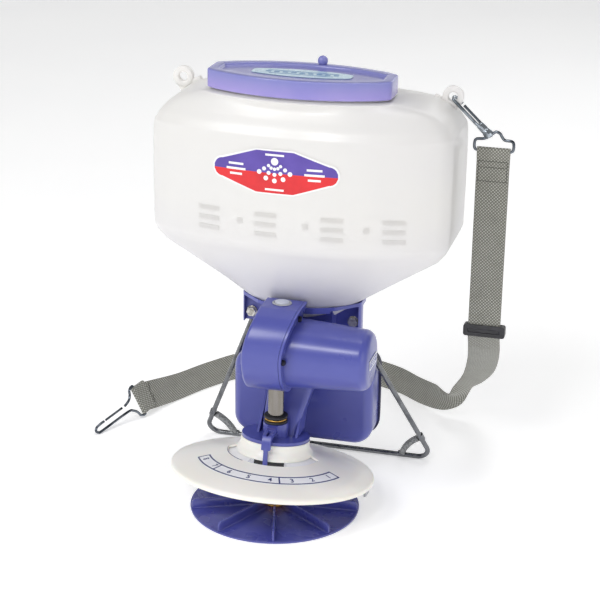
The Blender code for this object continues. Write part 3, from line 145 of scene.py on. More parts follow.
class Finish:
    """One Principled material whose colour, roughness and bump come from procedural nodes."""

    def __init__(self, slot, colour, roughness, metallic=0.0, name=None, **constants):
        self.slot, self.name = slot, name or slot
        self.colour, self.roughness, self.bump = screen(colour), roughness, None
        self.material = bpy.data.materials.new(self.name)
        self.material.use_nodes = True
        self.tree = self.material.node_tree
        self.sockets = self.tree.nodes["Principled BSDF"].inputs
        self.sockets["Base Color"].default_value = self.colour
        self.sockets["Roughness"].default_value = roughness
        self.sockets["Metallic"].default_value = metallic
        for socket, value in constants.items():
            self.sockets[socket.replace("_", " ")].default_value = value
        self.place = self.add("TexCoord").outputs["Object"]

    def add(self, kind, inputs=None, **settings):
        """A node; each of its inputs is a constant, or another node's output to link."""
        node = self.tree.nodes.new("ShaderNode" + kind)
        for setting, value in settings.items():
            setattr(node, setting, value)
        for socket, value in (inputs or {}).items():
            if isinstance(value, bpy.types.NodeSocket):
                self.tree.links.new(value, node.inputs[socket])
            else:
                node.inputs[socket].default_value = value
        return node

    def drive(self, socket, value):
        self.tree.links.new(value, self.sockets[socket])
        return self

    def stretched(self, scale):
        return self.add("Mapping", {"Scale": scale, "Vector": self.place}).outputs["Vector"]

    def noise(self, scale, detail=3.0, stretch=None):
        place = self.stretched(stretch) if stretch else self.place
        return self.add("TexNoise", {"Scale": scale, "Detail": detail, "Vector": place}).outputs["Fac"]

    def ranged(self, value, low, high, to_low=0.0, to_high=1.0):
        return self.add("MapRange", {"Value": value, "From Min": low, "From Max": high,
                                     "To Min": to_low, "To Max": to_high}).outputs["Result"]

    def times(self, first, second):
        return self.add("Math", {0: first, 1: second}, operation="MULTIPLY").outputs["Value"]

    def tint(self, share, colour):
        """Mixes another colour in, by a share between 0 and 1 that a node gives."""
        mix = self.add("Mix", {"A": self.colour, "B": screen(colour), "Factor": share}, data_type="RGBA")
        self.colour = mix.outputs["Result"]
        return self.drive("Base Color", self.colour)

    def mottle(self, colour, scale, low=0.4, high=0.7, most=1.0, stretch=None):
        return self.tint(self.ranged(self.noise(scale, 4.0, stretch), low, high, 0.0, most), colour)

    def fade(self, axis, start, end, colour, most=1.0):
        """A colour that grows along an axis, between two places in metres."""
        along = self.add("SeparateXYZ", {"Vector": self.place}).outputs[axis]
        return self.tint(self.ranged(along, start, end, 0.0, most), colour)

    def around_axis(self, start, end, colour, most):
        """A stain that grows toward the frame's Z axis, broken up by noise."""
        distance = self.add("VectorMath", {"Vector": self.stretched((1, 1, 0))}, operation="LENGTH")
        near = self.ranged(distance.outputs["Value"], start, end)
        return self.tint(self.times(near, self.ranged(self.noise(90.0), 0.35, 0.6, 0.2, most)), colour)

    def uneven(self, scale, spread, stretch=None):
        """Roughness that varies a little over the surface."""
        return self.drive("Roughness", self.ranged(self.noise(scale, 3.0, stretch), 0.2, 0.8,
                                                   self.roughness - spread, self.roughness + spread))

    def raise_by(self, height, strength, distance):
        inputs = {"Strength": strength, "Distance": distance, "Height": height}
        if self.bump is not None:
            inputs["Normal"] = self.bump
        self.bump = self.add("Bump", inputs).outputs["Normal"]
        return self.drive("Normal", self.bump)

    def grain(self, scale, strength=0.15, distance=0.0002):
        return self.raise_by(self.noise(scale, 2.0), strength, distance)


def webbing_finish():
    """Grey webbing: a twill of small floats, paler on the raised yarns, in the strap's own plan."""
    made = Finish("webbing", (108, 107, 99), 0.86, Sheen_Weight=0.25, Sheen_Roughness=0.5)
    made.place = made.add("UVMap", uv_map="plan").outputs["UV"]
    yarns = []
    for turn in (45, -45):
        along = made.add("Mapping", {"Rotation": (0, 0, radians(turn)), "Vector": made.place})
        wave = made.add("TexWave", {"Scale": 118.0, "Distortion": 0.6, "Detail": 1.0, "Detail Scale": 1.5,
                                    "Vector": along.outputs["Vector"]})
        yarns.append(wave.outputs["Fac"])
    raised = made.times(*yarns)
    made.tint(made.ranged(raised, 0.05, 0.45), (180, 181, 173)).mottle((112, 112, 104), 60.0, 0.48, 0.75, 0.3)
    return made.raise_by(raised, 0.7, 0.0006).grain(900.0, 0.3, 0.0003)


def make_finishes():
    """Every finish, by name; a finish with a name of its own is a variant of a record slot."""
    deep_blue = (54, 58, 138)
    made = [
        Finish("tank_plastic", (241, 239, 236), 0.34, Subsurface_Weight=0.3, Subsurface_Scale=0.02,
               Subsurface_Radius=(1.0, 0.96, 0.9), Coat_Weight=0.1)
        # Painted shade: the tank darkens to a violet grey toward its bottom and to a grey toward its right
        # side.
        .fade("Z", 0.36, 0.22, (222, 220, 234), 0.9).fade("X", 0.03, 0.19, (232, 229, 230), 0.6)
        .mottle((244, 241, 234), 7.0, 0.35, 0.8, 0.6).uneven(20.0, 0.05).grain(160.0, 0.05, 0.0003),
        Finish("lid_plastic", (134, 136, 196), 0.2, Subsurface_Weight=0.3, Subsurface_Scale=0.01,
               Subsurface_Radius=(0.9, 0.9, 1.0), Coat_Weight=0.4, Coat_Roughness=0.15)
        # Painted light: the lid turns paler toward its skirt, as light through the thin plastic would make
        # it.
        .fade("Z", 0.499, 0.484, (158, 146, 214)).mottle((120, 120, 200), 18.0, 0.4, 0.8, 0.5)
        .uneven(30.0, 0.05).grain(220.0, 0.04),
        Finish("blue_plastic", (80, 86, 168), 0.3, Coat_Weight=0.35, Coat_Roughness=0.2)
        .mottle(deep_blue, 16.0, 0.15, 1.0, 0.4).mottle((98, 104, 188), 45.0, 0.1, 1.1, 0.3)
        .uneven(26.0, 0.05).grain(420.0, 0.06),
        Finish("blue_plastic", (74, 78, 158), 0.26, name="spinner_blue", Coat_Weight=0.4, Coat_Roughness=0.15)
        .mottle(deep_blue, 30.0, 0.3, 0.9, 0.5).around_axis(0.034, 0.015, (112, 74, 50), 0.75)
        .uneven(40.0, 0.06),
        Finish("navy_rubber", (28, 29, 74), 0.5).mottle((18, 19, 52), 24.0).uneven(30.0, 0.08)
        .grain(500.0, 0.12),
        Finish("cream_plastic", (255, 252, 244), 0.34, Subsurface_Weight=0.12, Subsurface_Scale=0.005,
               Coat_Weight=0.15)
        .mottle((252, 245, 230), 9.0, 0.4, 0.8, 0.6).mottle((254, 253, 248), 40.0, 0.5, 0.8, 0.5)
        .uneven(24.0, 0.06).grain(300.0, 0.05),
        Finish("cream_plastic", (34, 42, 98), 0.4, name="scale_ink_and_slot_shade").mottle((48, 58, 118), 200.0),
        Finish("cream_plastic", (250, 250, 252), 0.36, name="scale_white").mottle((242, 242, 246), 60.0),
        Finish("black_rubber", (30, 30, 32), 0.55).mottle((52, 52, 55), 60.0).grain(700.0, 0.2),
        Finish("black_plastic", (36, 36, 40), 0.4)
        .mottle((60, 60, 66), 50.0, 0.5, 0.9).uneven(60.0, 0.08).grain(600.0, 0.15),
        Finish("grey_plastic", (176, 178, 182), 0.42)
        .mottle((150, 152, 158), 30.0).uneven(40.0, 0.06).grain(500.0, 0.1),
        Finish("grey_vinyl", (150, 152, 152), 0.6)
        .mottle((96, 98, 100), 380.0, 0.42, 0.62).grain(420.0, 0.7, 0.0008),
        Finish("steel", (124, 126, 129), 0.27, 1.0)
        .mottle((82, 84, 88), 70.0, 0.45, 0.75).uneven(120.0, 0.1).grain(400.0, 0.15),
        Finish("steel", (118, 124, 132), 0.18, 1.0, name="nickel")
        .mottle((62, 68, 76), 55.0, 0.45, 0.65).uneven(90.0, 0.07),
        Finish("steel", (176, 184, 192), 0.13, 1.0, name="chrome")
        .mottle((96, 104, 112), 70.0, 0.45, 0.65).uneven(90.0, 0.05),
        Finish("steel", (206, 204, 200), 0.24, 0.7, name="bright_steel")
        .mottle((130, 124, 116), 240.0, 0.45, 0.7).grain(600.0, 0.15),
        # Dark steel for the case screws: painted shade of the pockets they sit in.
        Finish("steel", (58, 58, 70), 0.4, 1.0, name="screw_pocket_shade").mottle((30, 30, 38), 200.0).grain(500.0, 0.2),
        Finish("zinc", (142, 138, 134), 0.22, 1.0)
        .mottle((112, 104, 88), 90.0, 0.4, 0.7, 0.8, (1, 1, 0.15)).uneven(90.0, 0.08, (1, 1, 0.1)),
        Finish("brass", (206, 160, 84), 0.3, 1.0)
        .mottle((150, 104, 48), 110.0, 0.5, 0.8).uneven(120.0, 0.1).grain(500.0, 0.15),
        Finish("label_print", (250, 250, 250), 0.3, Coat_Weight=0.3).mottle((236, 236, 240), 60.0, 0.5, 0.9),
        Finish("label_print", (84, 62, 160), 0.3, name="label_violet", Coat_Weight=0.3)
        .mottle((98, 76, 176), 40.0, 0.4, 0.8),
        Finish("label_print", (228, 28, 36), 0.3, name="label_red", Coat_Weight=0.3)
        .mottle((206, 20, 32), 40.0, 0.4, 0.8),
        Finish("sticker", (196, 222, 236), 0.28, Coat_Weight=0.3)
        .mottle((174, 204, 226), 50.0, 0.45, 0.8).uneven(60.0, 0.05),
        Finish("sticker", (110, 150, 190), 0.35, name="sticker_ink").mottle((90, 130, 176), 90.0),
        Finish("sticker", (244, 246, 250), 0.3, name="sticker_white").mottle((228, 232, 240), 80.0),
        Finish("sticker", (206, 210, 222), 0.35, name="button_grey")
        .mottle((188, 192, 206), 90.0).grain(400.0, 0.1),
        Finish("cell_wrap", (52, 54, 60), 0.3, Coat_Weight=0.4)
        .fade("Z", 0.11, 0.118, (190, 150, 70)).mottle((70, 72, 80), 80.0, 0.5, 0.9, 0.4),
        webbing_finish(),
        Finish("webbing", (62, 63, 60), 0.8, name="thread").grain(1500.0, 0.4),
    ]
    return {finish.name: finish for finish in made}


FINISHES = make_finishes()


# ---- mesh helpers ------------------------------------------------------------------------
def add_object(name, data):
    made = bpy.data.objects.new(name, data)
    bpy.context.scene.collection.objects.link(made)
    return made


def smooth(mesh, sharp=35):
    mesh.shade_smooth()
    mesh.set_sharp_from_angle(angle=radians(sharp))


def mesh_object(name, points, faces, origin=(0, 0, 0), turn=None, sharp=35):
    """A mesh object in the row frame, from points in millimetres in a turned and moved frame."""
    turn = turn or Matrix.Identity(3)
    mesh = bpy.data.meshes.new(name)
    mesh.from_pydata([(turn @ Vector(p) + Vector(origin)) * MM for p in points], [], faces)
    bm = bmesh.new()
    bm.from_mesh(mesh)
    bmesh.ops.recalc_face_normals(bm, faces=bm.faces)
    bm.to_mesh(mesh)
    bm.free()
    smooth(mesh, sharp)
    return add_object(name, mesh)


def evaluated_mesh(obj):
    return bpy.data.meshes.new_from_object(obj.evaluated_get(bpy.context.evaluated_depsgraph_get()))


def settle(obj):
    """Turns an object's modifiers into its mesh."""
    mesh = evaluated_mesh(obj)
    obj.modifiers.clear()
    obj.data = mesh
    smooth(mesh)
    return obj


def carve(obj, points, faces, turn=None, origin=(0, 0, 0), operation="DIFFERENCE"):
    tool = mesh_object("tool", points, faces, origin, turn)
    modifier = obj.modifiers.new("carve", "BOOLEAN")
    modifier.operation, modifier.solver, modifier.object = operation, "EXACT", tool
    settle(obj)
    bpy.data.objects.remove(tool)
    return obj


def fuse(obj, points, faces, turn=None, origin=(0, 0, 0)):
    return carve(obj, points, faces, turn, origin, "UNION")


def gather(name, objects):
    """Several meshes as one piece."""
    bm = bmesh.new()
    for obj in objects:
        bm.from_mesh(obj.data)
        bpy.data.objects.remove(obj)
    mesh = bpy.data.meshes.new(name)
    bm.to_mesh(mesh)
    bm.free()
    smooth(mesh)
    return add_object(name, mesh)


def rounded(obj, width, segments=3):
    """Rounds the edges that turn by more than 35 degrees."""
    modifier = obj.modifiers.new("round", "BEVEL")
    modifier.width, modifier.segments = width * MM, segments
    modifier.limit_method, modifier.angle_limit = "ANGLE", radians(35)
    modifier.harden_normals = modifier.use_clamp_overlap = True
    return obj


def show(obj, finish, body="spreader", stands_for=()):
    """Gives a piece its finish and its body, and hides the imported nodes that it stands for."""
    chosen = FINISHES[finish]
    obj.data.materials.clear()
    obj.data.materials.append(chosen.material)
    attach(obj, body)
    if stands_for:
        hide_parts(*stands_for)
    return obj


def loft(rings, closed_loop=False):
    """Points and faces through rings of equal length; open ends are capped."""
    count = len(rings[0])
    faces = []
    for i in range(len(rings) if closed_loop else len(rings) - 1):
        a, b = i * count, ((i + 1) % len(rings)) * count
        for j in range(count):
            k = (j + 1) % count
            faces.append((a + j, a + k, b + k, b + j))
    if not closed_loop:
        faces.append(tuple(range(count))[::-1])
        faces.append(tuple(range((len(rings) - 1) * count, len(rings) * count)))
    return [p for ring in rings for p in ring], faces


def turned(profile, segments, closed_loop=False):
    """A profile of (radius, height) pairs turned about local Z; radius 0 makes a pole."""
    points, rings = [], []
    for radius, height in profile:
        if radius < 1e-6:
            rings.append([len(points)] * segments)
            points.append((0, 0, height))
            continue
        rings.append(list(range(len(points), len(points) + segments)))
        for j in range(segments):
            angle = 2 * pi * j / segments
            points.append((radius * cos(angle), radius * sin(angle), height))
    faces = []
    for i in range(len(rings) if closed_loop else len(rings) - 1):
        low, high = rings[i], rings[(i + 1) % len(rings)]
        for j in range(segments):
            k = (j + 1) % segments
            face = tuple(dict.fromkeys((low[j], low[k], high[k], high[j])))
            if len(face) > 2:
                faces.append(face)
    if not closed_loop:
        faces += [tuple(end) for end in (rings[0], rings[-1]) if len(set(end)) == segments]
    return points, faces


def disc(radius, low, high, segments=48):
    return turned([(radius, low), (radius, high)], segments)


def block(low, high):
    (x0, y0, z0), (x1, y1, z1) = low, high
    return loft([[(x0, y0, z), (x1, y0, z), (x1, y1, z), (x0, y1, z)] for z in (z0, z1)])


def extrusion(outline, low, high, axis="z"):
    order = {"z": lambda p, d: (p[0], p[1], d), "x": lambda p, d: (d, p[0], p[1]),
             "y": lambda p, d: (p[0], d, p[1])}[axis]
    return loft([[order(p, depth) for p in outline] for depth in (low, high)])


def arc(cx, cy, radius, start, end, steps):
    angles = [radians(start + (end - start) * i / steps) for i in range(steps + 1)]
    return [(cx + radius * cos(a), cy + radius * sin(a)) for a in angles]


def arc_band(r0, r1, start, end, low, high, steps):
    """A solid band between two radii and two angles about local Z."""
    outline = arc(0, 0, r1, start, end, steps) + arc(0, 0, r0, end, start, steps)
    return extrusion(outline, low, high)


def rounded_rect(x0, y0, x1, y1, radius, steps=8):
    corners = [(x1 - radius, y1 - radius, 0), (x0 + radius, y1 - radius, 90),
               (x0 + radius, y0 + radius, 180), (x1 - radius, y0 + radius, 270)]
    return [p for cx, cy, start in corners for p in arc(cx, cy, radius, start, start + 90, steps)]


def rounded_box(cx, cy, half_w, half_h, radius, steps=8):
    return rounded_rect(cx - half_w, cy - half_h, cx + half_w, cy + half_h, radius, steps)


def oval(cx, cy, half_w, half_d, steps=48):
    turns = [2 * pi * i / steps for i in range(steps)]
    return [(cx + half_w * cos(a), cy + half_d * sin(a)) for a in turns]


def barrel(half_w, half_d, end_half_d, corner, bulge_steps=24, corner_steps=7):
    """Plan outline with flat ends and a bulging front and back, counter-clockwise."""
    rise = half_d - end_half_d
    radius = (half_w ** 2 + rise ** 2) / (2 * rise)
    slope = atan2(half_w, radius - rise)
    quarter = []
    for i in range(corner_steps + 1):
        along = i / corner_steps * (pi / 2 - slope * 0.92)
        quarter.append((half_w - corner + corner * cos(along),
                        end_half_d - corner * 0.72 + corner * 0.95 * sin(along)))
    last = quarter[-1][0]
    for i in range(1, bulge_steps // 2 + 1):
        x = last * (1 - i / (bulge_steps // 2))
        quarter.append((x, half_d - radius + sqrt(radius ** 2 - x ** 2)))
    top = quarter + [(-x, y) for x, y in quarter[-2::-1]]
    return top + [(-x, -y) for x, y in top]


def ring_at(outline, z, cx=0.0, cy=0.0):
    return [(cx + x, cy + y, z) for x, y in outline]


def toward(direction):
    """Rotation that takes local Z to a direction."""
    return Vector((0, 0, 1)).rotation_difference(Vector(direction).normalized()).to_matrix()


ALONG_X, ALONG_Y, GUARD_TILT = toward((1, 0, 0)), toward((0, 1, 0)), toward(GUARD_AXIS)


def curve_through(points, per_span):
    """Catmull-Rom points through a route of vectors of any length."""
    rows = [Vector(p) for p in points]
    rows = [2 * rows[0] - rows[1]] + rows + [2 * rows[-1] - rows[-2]]
    path = []
    for i in range(1, len(rows) - 2):
        a, b, c, d = rows[i - 1:i + 3]
        for step in range(per_span):
            t = step / per_span
            path.append(0.5 * (2 * b + (c - a) * t + (2 * a - 5 * b + 4 * c - d) * t ** 2
                               + (3 * b - 3 * c + d - a) * t ** 3))
    path.append(rows[-2])
    return path


def directions(path):
    """Unit direction of travel at each point of a path."""
    return [(path[min(i + 1, len(path) - 1)] - path[max(i - 1, 0)]).normalized()
            for i in range(len(path))]


def fillet(profile, radius, steps=4):
    """Rounds the inner corners of an open profile of pairs."""
    points = [profile[0]]
    for before, corner, after in zip(profile, profile[1:], profile[2:]):
        c = Vector(corner)
        a, b = Vector(before) - c, Vector(after) - c
        reach = min(radius, a.length * 0.45, b.length * 0.45)
        start, end = c + a.normalized() * reach, c + b.normalized() * reach
        for i in range(steps + 1):
            t = i / steps
            points.append(tuple(start * (1 - t) ** 2 + c * 2 * t * (1 - t) + end * t ** 2))
    return points + [profile[-1]]


def eyelet(inner, outer, thick, radius):
    """Closed profile of a flat ring with rounded outer edges."""
    upper = fillet([(inner, 0), (inner, thick / 2), (outer, thick / 2), (outer, 0)], radius)
    return upper[1:] + [(r, -h) for r, h in upper[-2:0:-1]]


def sweep(path, radius, sides=20):
    """A round bar along a path; its frame is carried along without twisting."""
    path = [Vector(p) for p in path]
    ahead = directions(path)
    side = ahead[0].orthogonal().normalized()
    rings = []
    for point, tangent in zip(path, ahead):
        side = (side - tangent * side.dot(tangent)).normalized()
        other = tangent.cross(side)
        rings.append([point + radius * (side * cos(2 * pi * j / sides) + other * sin(2 * pi * j / sides))
                      for j in range(sides)])
    return loft(rings)


def rounded_corner(before, corner, after, radius, steps):
    """Points of an arc that rounds the corner of a wire."""
    corner = Vector(corner)
    a, b = ((Vector(end) - corner).normalized() for end in (before, after))
    half = a.angle(b) / 2
    centre = corner + (a + b).normalized() * radius / sin(half)
    first, last = (corner + way * radius / tan(half) - centre for way in (a, b))
    swing = first.angle(last)
    return [centre + (first * sin(swing * (1 - i / steps)) + last * sin(swing * i / steps))
            / sin(swing) for i in range(steps + 1)]


# ---- tank --------------------------------------------------------------------------------
def tank_rings(inset):
    """Sections from the outlet to the mouth, each pulled in by the wall thickness."""
    levels = [  # height, half width, half depth, half depth of the ends, corner, centre x and y
        (STRAIGHT_Z0 - 9, TANK_HALF_W - 12, TANK_HALF_D - 9, 52, 24, BODY_X, TANK_Y),
        (STRAIGHT_Z0 + 6, TANK_HALF_W - 2, TANK_HALF_D - 1, 60, 27, BODY_X, TANK_Y),
        (STRAIGHT_Z0 + 26, TANK_HALF_W, TANK_HALF_D, TANK_END_HALF_D, 28, BODY_X, TANK_Y),
        (STRAIGHT_Z1 - 12, TANK_HALF_W, TANK_HALF_D, TANK_END_HALF_D, 28, BODY_X, TANK_Y),
        (STRAIGHT_Z1 + 6, TANK_HALF_W - 4, TANK_HALF_D - 3, 60, 28, BODY_X, TANK_Y),
        (STRAIGHT_Z1 + 20, TANK_HALF_W - 15, TANK_HALF_D - 12, 53, 26, BODY_X, TANK_Y),
        (TANK_TOP_Z - 8, TANK_HALF_W - 30, TANK_HALF_D - 20, 46, 22, BODY_X - 1, TANK_Y - 3),
        (TANK_TOP_Z - 2, LID_HALF_W + 14, LID_HALF_D + 15, 34, 16, TANK_X, TANK_Y - 14),
        (TANK_TOP_Z, LID_HALF_W + 3, LID_HALF_D + 4, 25, 12, TANK_X, MOUTH_Y + 2),
        (TANK_TOP_Z + 2, LID_HALF_W - 5, LID_HALF_D - 4, 17.5, 9, TANK_X, MOUTH_Y),
    ]
    outlet = barrel(OUTLET_HALF_W - inset, OUTLET_HALF_D - inset, 17 - inset, 8)
    rings = [ring_at(outlet, z, TANK_X, TANK_Y) for z in (OUTLET_Z, OUTLET_Z + 6)]
    rings.append(ring_at(barrel(FUNNEL_HALF_W - inset, FUNNEL_HALF_D - inset,
                                FUNNEL_END_D - inset, FUNNEL_CORNER),
                         FUNNEL_Z + inset * 0.6, TANK_X, TANK_Y))
    drop = [inset * 0.6 if i == 0 else -inset if 4 <= i <= 8 else 0 for i in range(len(levels))]
    shifted = [(z + drop[i], *rest) for i, (z, *rest) in enumerate(levels)]
    for z, half_w, half_d, end_d, corner, cx, cy in curve_through(shifted, 6):
        outline = barrel(half_w - inset, half_d - inset, end_d - inset * 0.6, corner - inset * 0.5)
        rings.append(ring_at(outline, z, cx, cy))
    rings.append([(x, y, MOUTH_RIM_Z) for x, y, _ in rings[-1]])
    return rings


def front_y(x):
    """Front face of the straight wall at a place across the tank."""
    rise = TANK_HALF_D - TANK_END_HALF_D
    radius = (TANK_HALF_W ** 2 + rise ** 2) / (2 * rise)
    return TANK_Y - (TANK_HALF_D - radius + sqrt(radius ** 2 - (x - BODY_X) ** 2))


def wall_patch(name, edge, x0, x1, lift, back=0.0, steps=12):
    """A thin plate that follows the front wall; edge(x) gives its lowest and highest point."""
    rings = []
    for i in range(steps + 1):
        x = x0 + (x1 - x0) * i / steps
        low, high = edge(x)
        near, far = front_y(x) - back, front_y(x) - lift
        rings.append([(x, near, low), (x, far, low), (x, far, high), (x, near, high)])
    return mesh_object(name, *loft(rings))


def make_tank():
    parts = [mesh_object("tank_shell", *loft(tank_rings(0.0) + tank_rings(TANK_WALL)[::-1], True))]
    web_half = LUG_THICK / 2 - 0.6
    for side in (-1, 1):
        x = TANK_X + side * LUG_X
        parts.append(mesh_object("ear", *turned(eyelet(LUG_HOLE_R, LUG_R, LUG_THICK, 1.4), 48, True),
                                 (x, LUG_Y, LUG_Z), ALONG_Y))
        web = [(x - side * 11.5, LUG_Z - 2), (x - side * 2, LUG_Z - 11.4), (x + side * 9.5, LUG_Z - 7),
               (x + side * 2, STRAIGHT_Z1 + 13), (x - side * 26, STRAIGHT_Z1 + 20),
               (x - side * 20, LUG_Z + 2)]
        plate = mesh_object("web", *extrusion(web, LUG_Y - web_half, LUG_Y + web_half, "y"))
        parts.append(settle(rounded(plate, 1.2)))
    bars = [(x, x + 24, EMBOSS_LOW_Z + row * EMBOSS_PITCH, 5, 4) for x in (-88, -22, 52, 118)
            for row in range(3)]
    dots = [(x, x + 6, EMBOSS_LOW_Z + 12, 6, 2) for x in (-42, 32, 98)]
    for x0, x1, low, height, steps in bars + dots:
        parts.append(wall_patch("emboss", lambda x: (low, low + height), x0, x1, 0.25, -1.0, steps))
    show(gather("tank_body", parts), "tank_plastic", stands_for=["tank"])


def lozenge(share, middle, end):
    """Half height of the label at a share of its half length: straight tapers, round ends."""
    if share < 0.3:
        return middle
    if share < 0.86:
        return middle + (end - middle) * (share - 0.3) / 0.56
    return end * sqrt(max(0.06, 1 - ((share - 0.86) / 0.145) ** 2))


def make_label():
    """A two-coloured label with neutral bars and a fan of dots."""
    border, split = 1.7, LABEL_Z - 1.0
    base, lift = GAP + 0.3, GAP + 0.8

    def rise(x, inset):
        return lozenge(abs(x - LABEL_X) / (LABEL_HALF - inset), LABEL_RISE - inset, LABEL_END - inset)

    def outer(x):
        return LABEL_Z - rise(x, 0), LABEL_Z + rise(x, 0)

    def upper(x):
        return split, max(split + 0.2, LABEL_Z + rise(x, border))

    def lower(x):
        return min(split - 0.2, LABEL_Z - rise(x, border)), split

    def bar(cx, low, height, length):
        return wall_patch("mark", lambda x: (low, low + height), cx - length / 2, cx + length / 2,
                          lift, base, 6)

    def dot(cx, z, square, half_w, least, steps):
        def edge(x):
            half_h = sqrt(max(least, square - (x - cx) ** 2))
            return z - half_h, z + half_h
        return wall_patch("mark", edge, cx - half_w, cx + half_w, lift, base, steps)

    for name, edge, inset, top, back, finish, nodes in (
            ("label_base", outer, 0, GAP + 0.5, GAP, "label_print", ["front_label"]),
            ("label_top", upper, border, GAP + 0.65, base, "label_violet", ()),
            ("label_bottom", lower, border, GAP + 0.65, base, "label_red", ())):
        half = LABEL_HALF - inset
        show(wall_patch(name, edge, LABEL_X - half, LABEL_X + half, top, back, 72), finish,
             stands_for=nodes)
    marks = [bar(LABEL_X + side * 44, LABEL_Z + 4.4 - row * 5.6, 2.4, length)
             for side in (-1, 1) for row, length in enumerate((17, 22, 14))]
    marks += [bar(LABEL_X, LABEL_Z + low, 2.2, 21) for low in (18, -20.5)]
    rays, reach, source = 5, 26.0, LABEL_Z + 12
    marks.append(dot(LABEL_X, source, 17, 4.1, 0.1, 16))
    for i in range(rays):
        angle = radians(-90 + (i - (rays - 1) / 2) * 27)
        for share in (0.32, 0.56, 0.82):
            size = 1.3 + 1.6 * share
            marks.append(dot(LABEL_X + reach * share * cos(angle), source + reach * share * sin(angle),
                             size ** 2, size, 0.05, 12))
    show(gather("label_marks", marks), "label_print")


def lid_ring(inset, z):
    return ring_at(barrel(LID_HALF_W - inset, LID_HALF_D - inset, LID_END_HALF_D - 0.7 * inset,
                          max(LID_CORNER - 0.5 * inset, 2.0)), z, TANK_X, MOUTH_Y)


def make_lid():
    panel = LID_TOP_Z - LID_PANEL_DROP
    under = panel - LID_WALL
    profile = [(LID_WALL, under), (LID_WALL, LID_SKIRT_Z), (0, LID_SKIRT_Z), (0, LID_TOP_Z),
               (11.5, LID_TOP_Z), (13, panel), (24, panel)]
    rings = [lid_ring(inset, z) for inset, z in fillet(profile, 1.9, 5)]
    swings = [radians(-52 + 142 * i / 16) for i in range(16)]
    knob = [(0, -1), (3.2, -1), (3.2, 0.2)]
    knob += [(KNOB_R * cos(a), KNOB_SINK + KNOB_R * sin(a)) for a in swings] + [(0, KNOB_SINK + KNOB_R)]
    knob_at = (TANK_X + 12.5, MOUTH_Y + LID_HALF_D - 6.5, LID_TOP_Z)
    parts = [mesh_object("cap", *loft(rings)), mesh_object("knob", *turned(knob, 40), knob_at)]
    show(gather("lid_cap", parts), "lid_plastic", "lid", ["lid"])
    low, high = MOUTH_RIM_Z + GAP, under - GAP
    seal = loft([lid_ring(5, low), lid_ring(5, high), lid_ring(9, high), lid_ring(9, low)], True)
    show(rounded(mesh_object("lid_gasket", *seal), 0.5), "navy_rubber", "lid", ["lid_seal"])
    plate = [ring_at(barrel(56, 17, 8, 5), panel + z, TANK_X, MOUTH_Y) for z in (GAP, GAP + 0.5)]
    show(mesh_object("lid_print", *loft(plate)), "sticker", "lid", ["lid_sticker"])
    lines = [rounded_box(TANK_X, MOUTH_Y + y, half, 1.1, 1) for y, half in ((6, 40), (-7, 36))]
    lines += [rounded_box(TANK_X - 38 + i * 9.5, MOUTH_Y, 3, 2.6, 1.2) for i in range(9)]
    marks = [mesh_object("mark", *extrusion(outline, panel + GAP + 0.3, panel + GAP + 0.62))
             for outline in lines]
    show(gather("lid_marks", marks), "sticker_ink", "lid")


# ---- chute, pointer and drop plate -------------------------------------------------------
def chute_rings(wall):
    """Sections of the chute from the bracket down to the hub; the hollow runs past both ends."""
    top, foot = (6, 60) if wall else (0, 82)
    levels = [(BRACKET_Z0 - GAP + top, 12, 75, 34.8, 26.8, 10), (186, 12, 69, 33, 25, 10),
              (160, 10.5, 55, 29, 20, 9), (128, 6.5, 41, 25, 16.5, 8), (104, 3, 27.5, 22.5, 14.5, 7),
              (foot, 1.5, 19, 21.5, 14, 7)]
    return [ring_at(rounded_box(cx, cy, half_w - wall, half_d - wall, corner - wall * 0.6), z)
            for z, cx, cy, half_w, half_d, corner in curve_through(levels, 4)]


def make_chute():
    chute = mesh_object("chute_body", *loft(chute_rings(0)))
    fuse(chute, *block((TANK_X - 39, 46, BRACKET_Z0 - 4), (TANK_X + 39, 101, BRACKET_Z0 - GAP)))
    fuse(chute, *disc(39, NECK_TOP + GAP, NECK_TOP + 4, 96), GUARD_TILT, GUARD_C)
    for x in (-21.5, 24.0):
        rib = [(-2, 86), (34, 86), (52, 128), (40, 128)]
        fuse(chute, *extrusion(rib, x - 1.3, x + 1.3, "x"))
    carve(chute, *loft(chute_rings(2.4)))
    fuse(chute, *disc(HUB_R, 80, HUB_TOP, 48))
    fuse(chute, *extrusion(rounded_rect(-6, -21, 6, -10, 2), 96, 105))
    carve(chute, *disc(BUSH_R + GAP, HUB_TOP - 16, HUB_TOP + 5, 48))
    carve(chute, *disc(SHAFT_R + 0.6, 60, HUB_TOP, 40))
    carve(chute, *block((-7, -30, 98), (7, -16.5, 110)))
    show(rounded(chute, 0.6), "blue_plastic", stands_for=["outlet_chute"])


def make_pointer():
    profile = [(-17.2, 104.5), (-36, 102.5), (-41.5, 97), (-43.5, 86), (-45.6, 76), (-46.8, 67.5),
               (-43.6, 67.5), (-41.2, 76), (-39.2, 84), (-37.6, 92), (-34, 96.2), (-17.2, 98.6)]
    pointer = mesh_object("pointer_arm", *extrusion(profile, -5.4, 5.4, "x"))
    carve(pointer, *block((-1.7, -36, 90), (1.7, -23.5, 110)))
    taper = [(-60, 60), (-60, 84), (-30, 90), (-30, 60)]
    for x0, x1 in ((-9, -2.6), (2.6, 9)):
        carve(pointer, *extrusion(taper, x0, x1, "x"))
    show(rounded(pointer, 0.8), "blue_plastic", stands_for=["direction_pointer"])


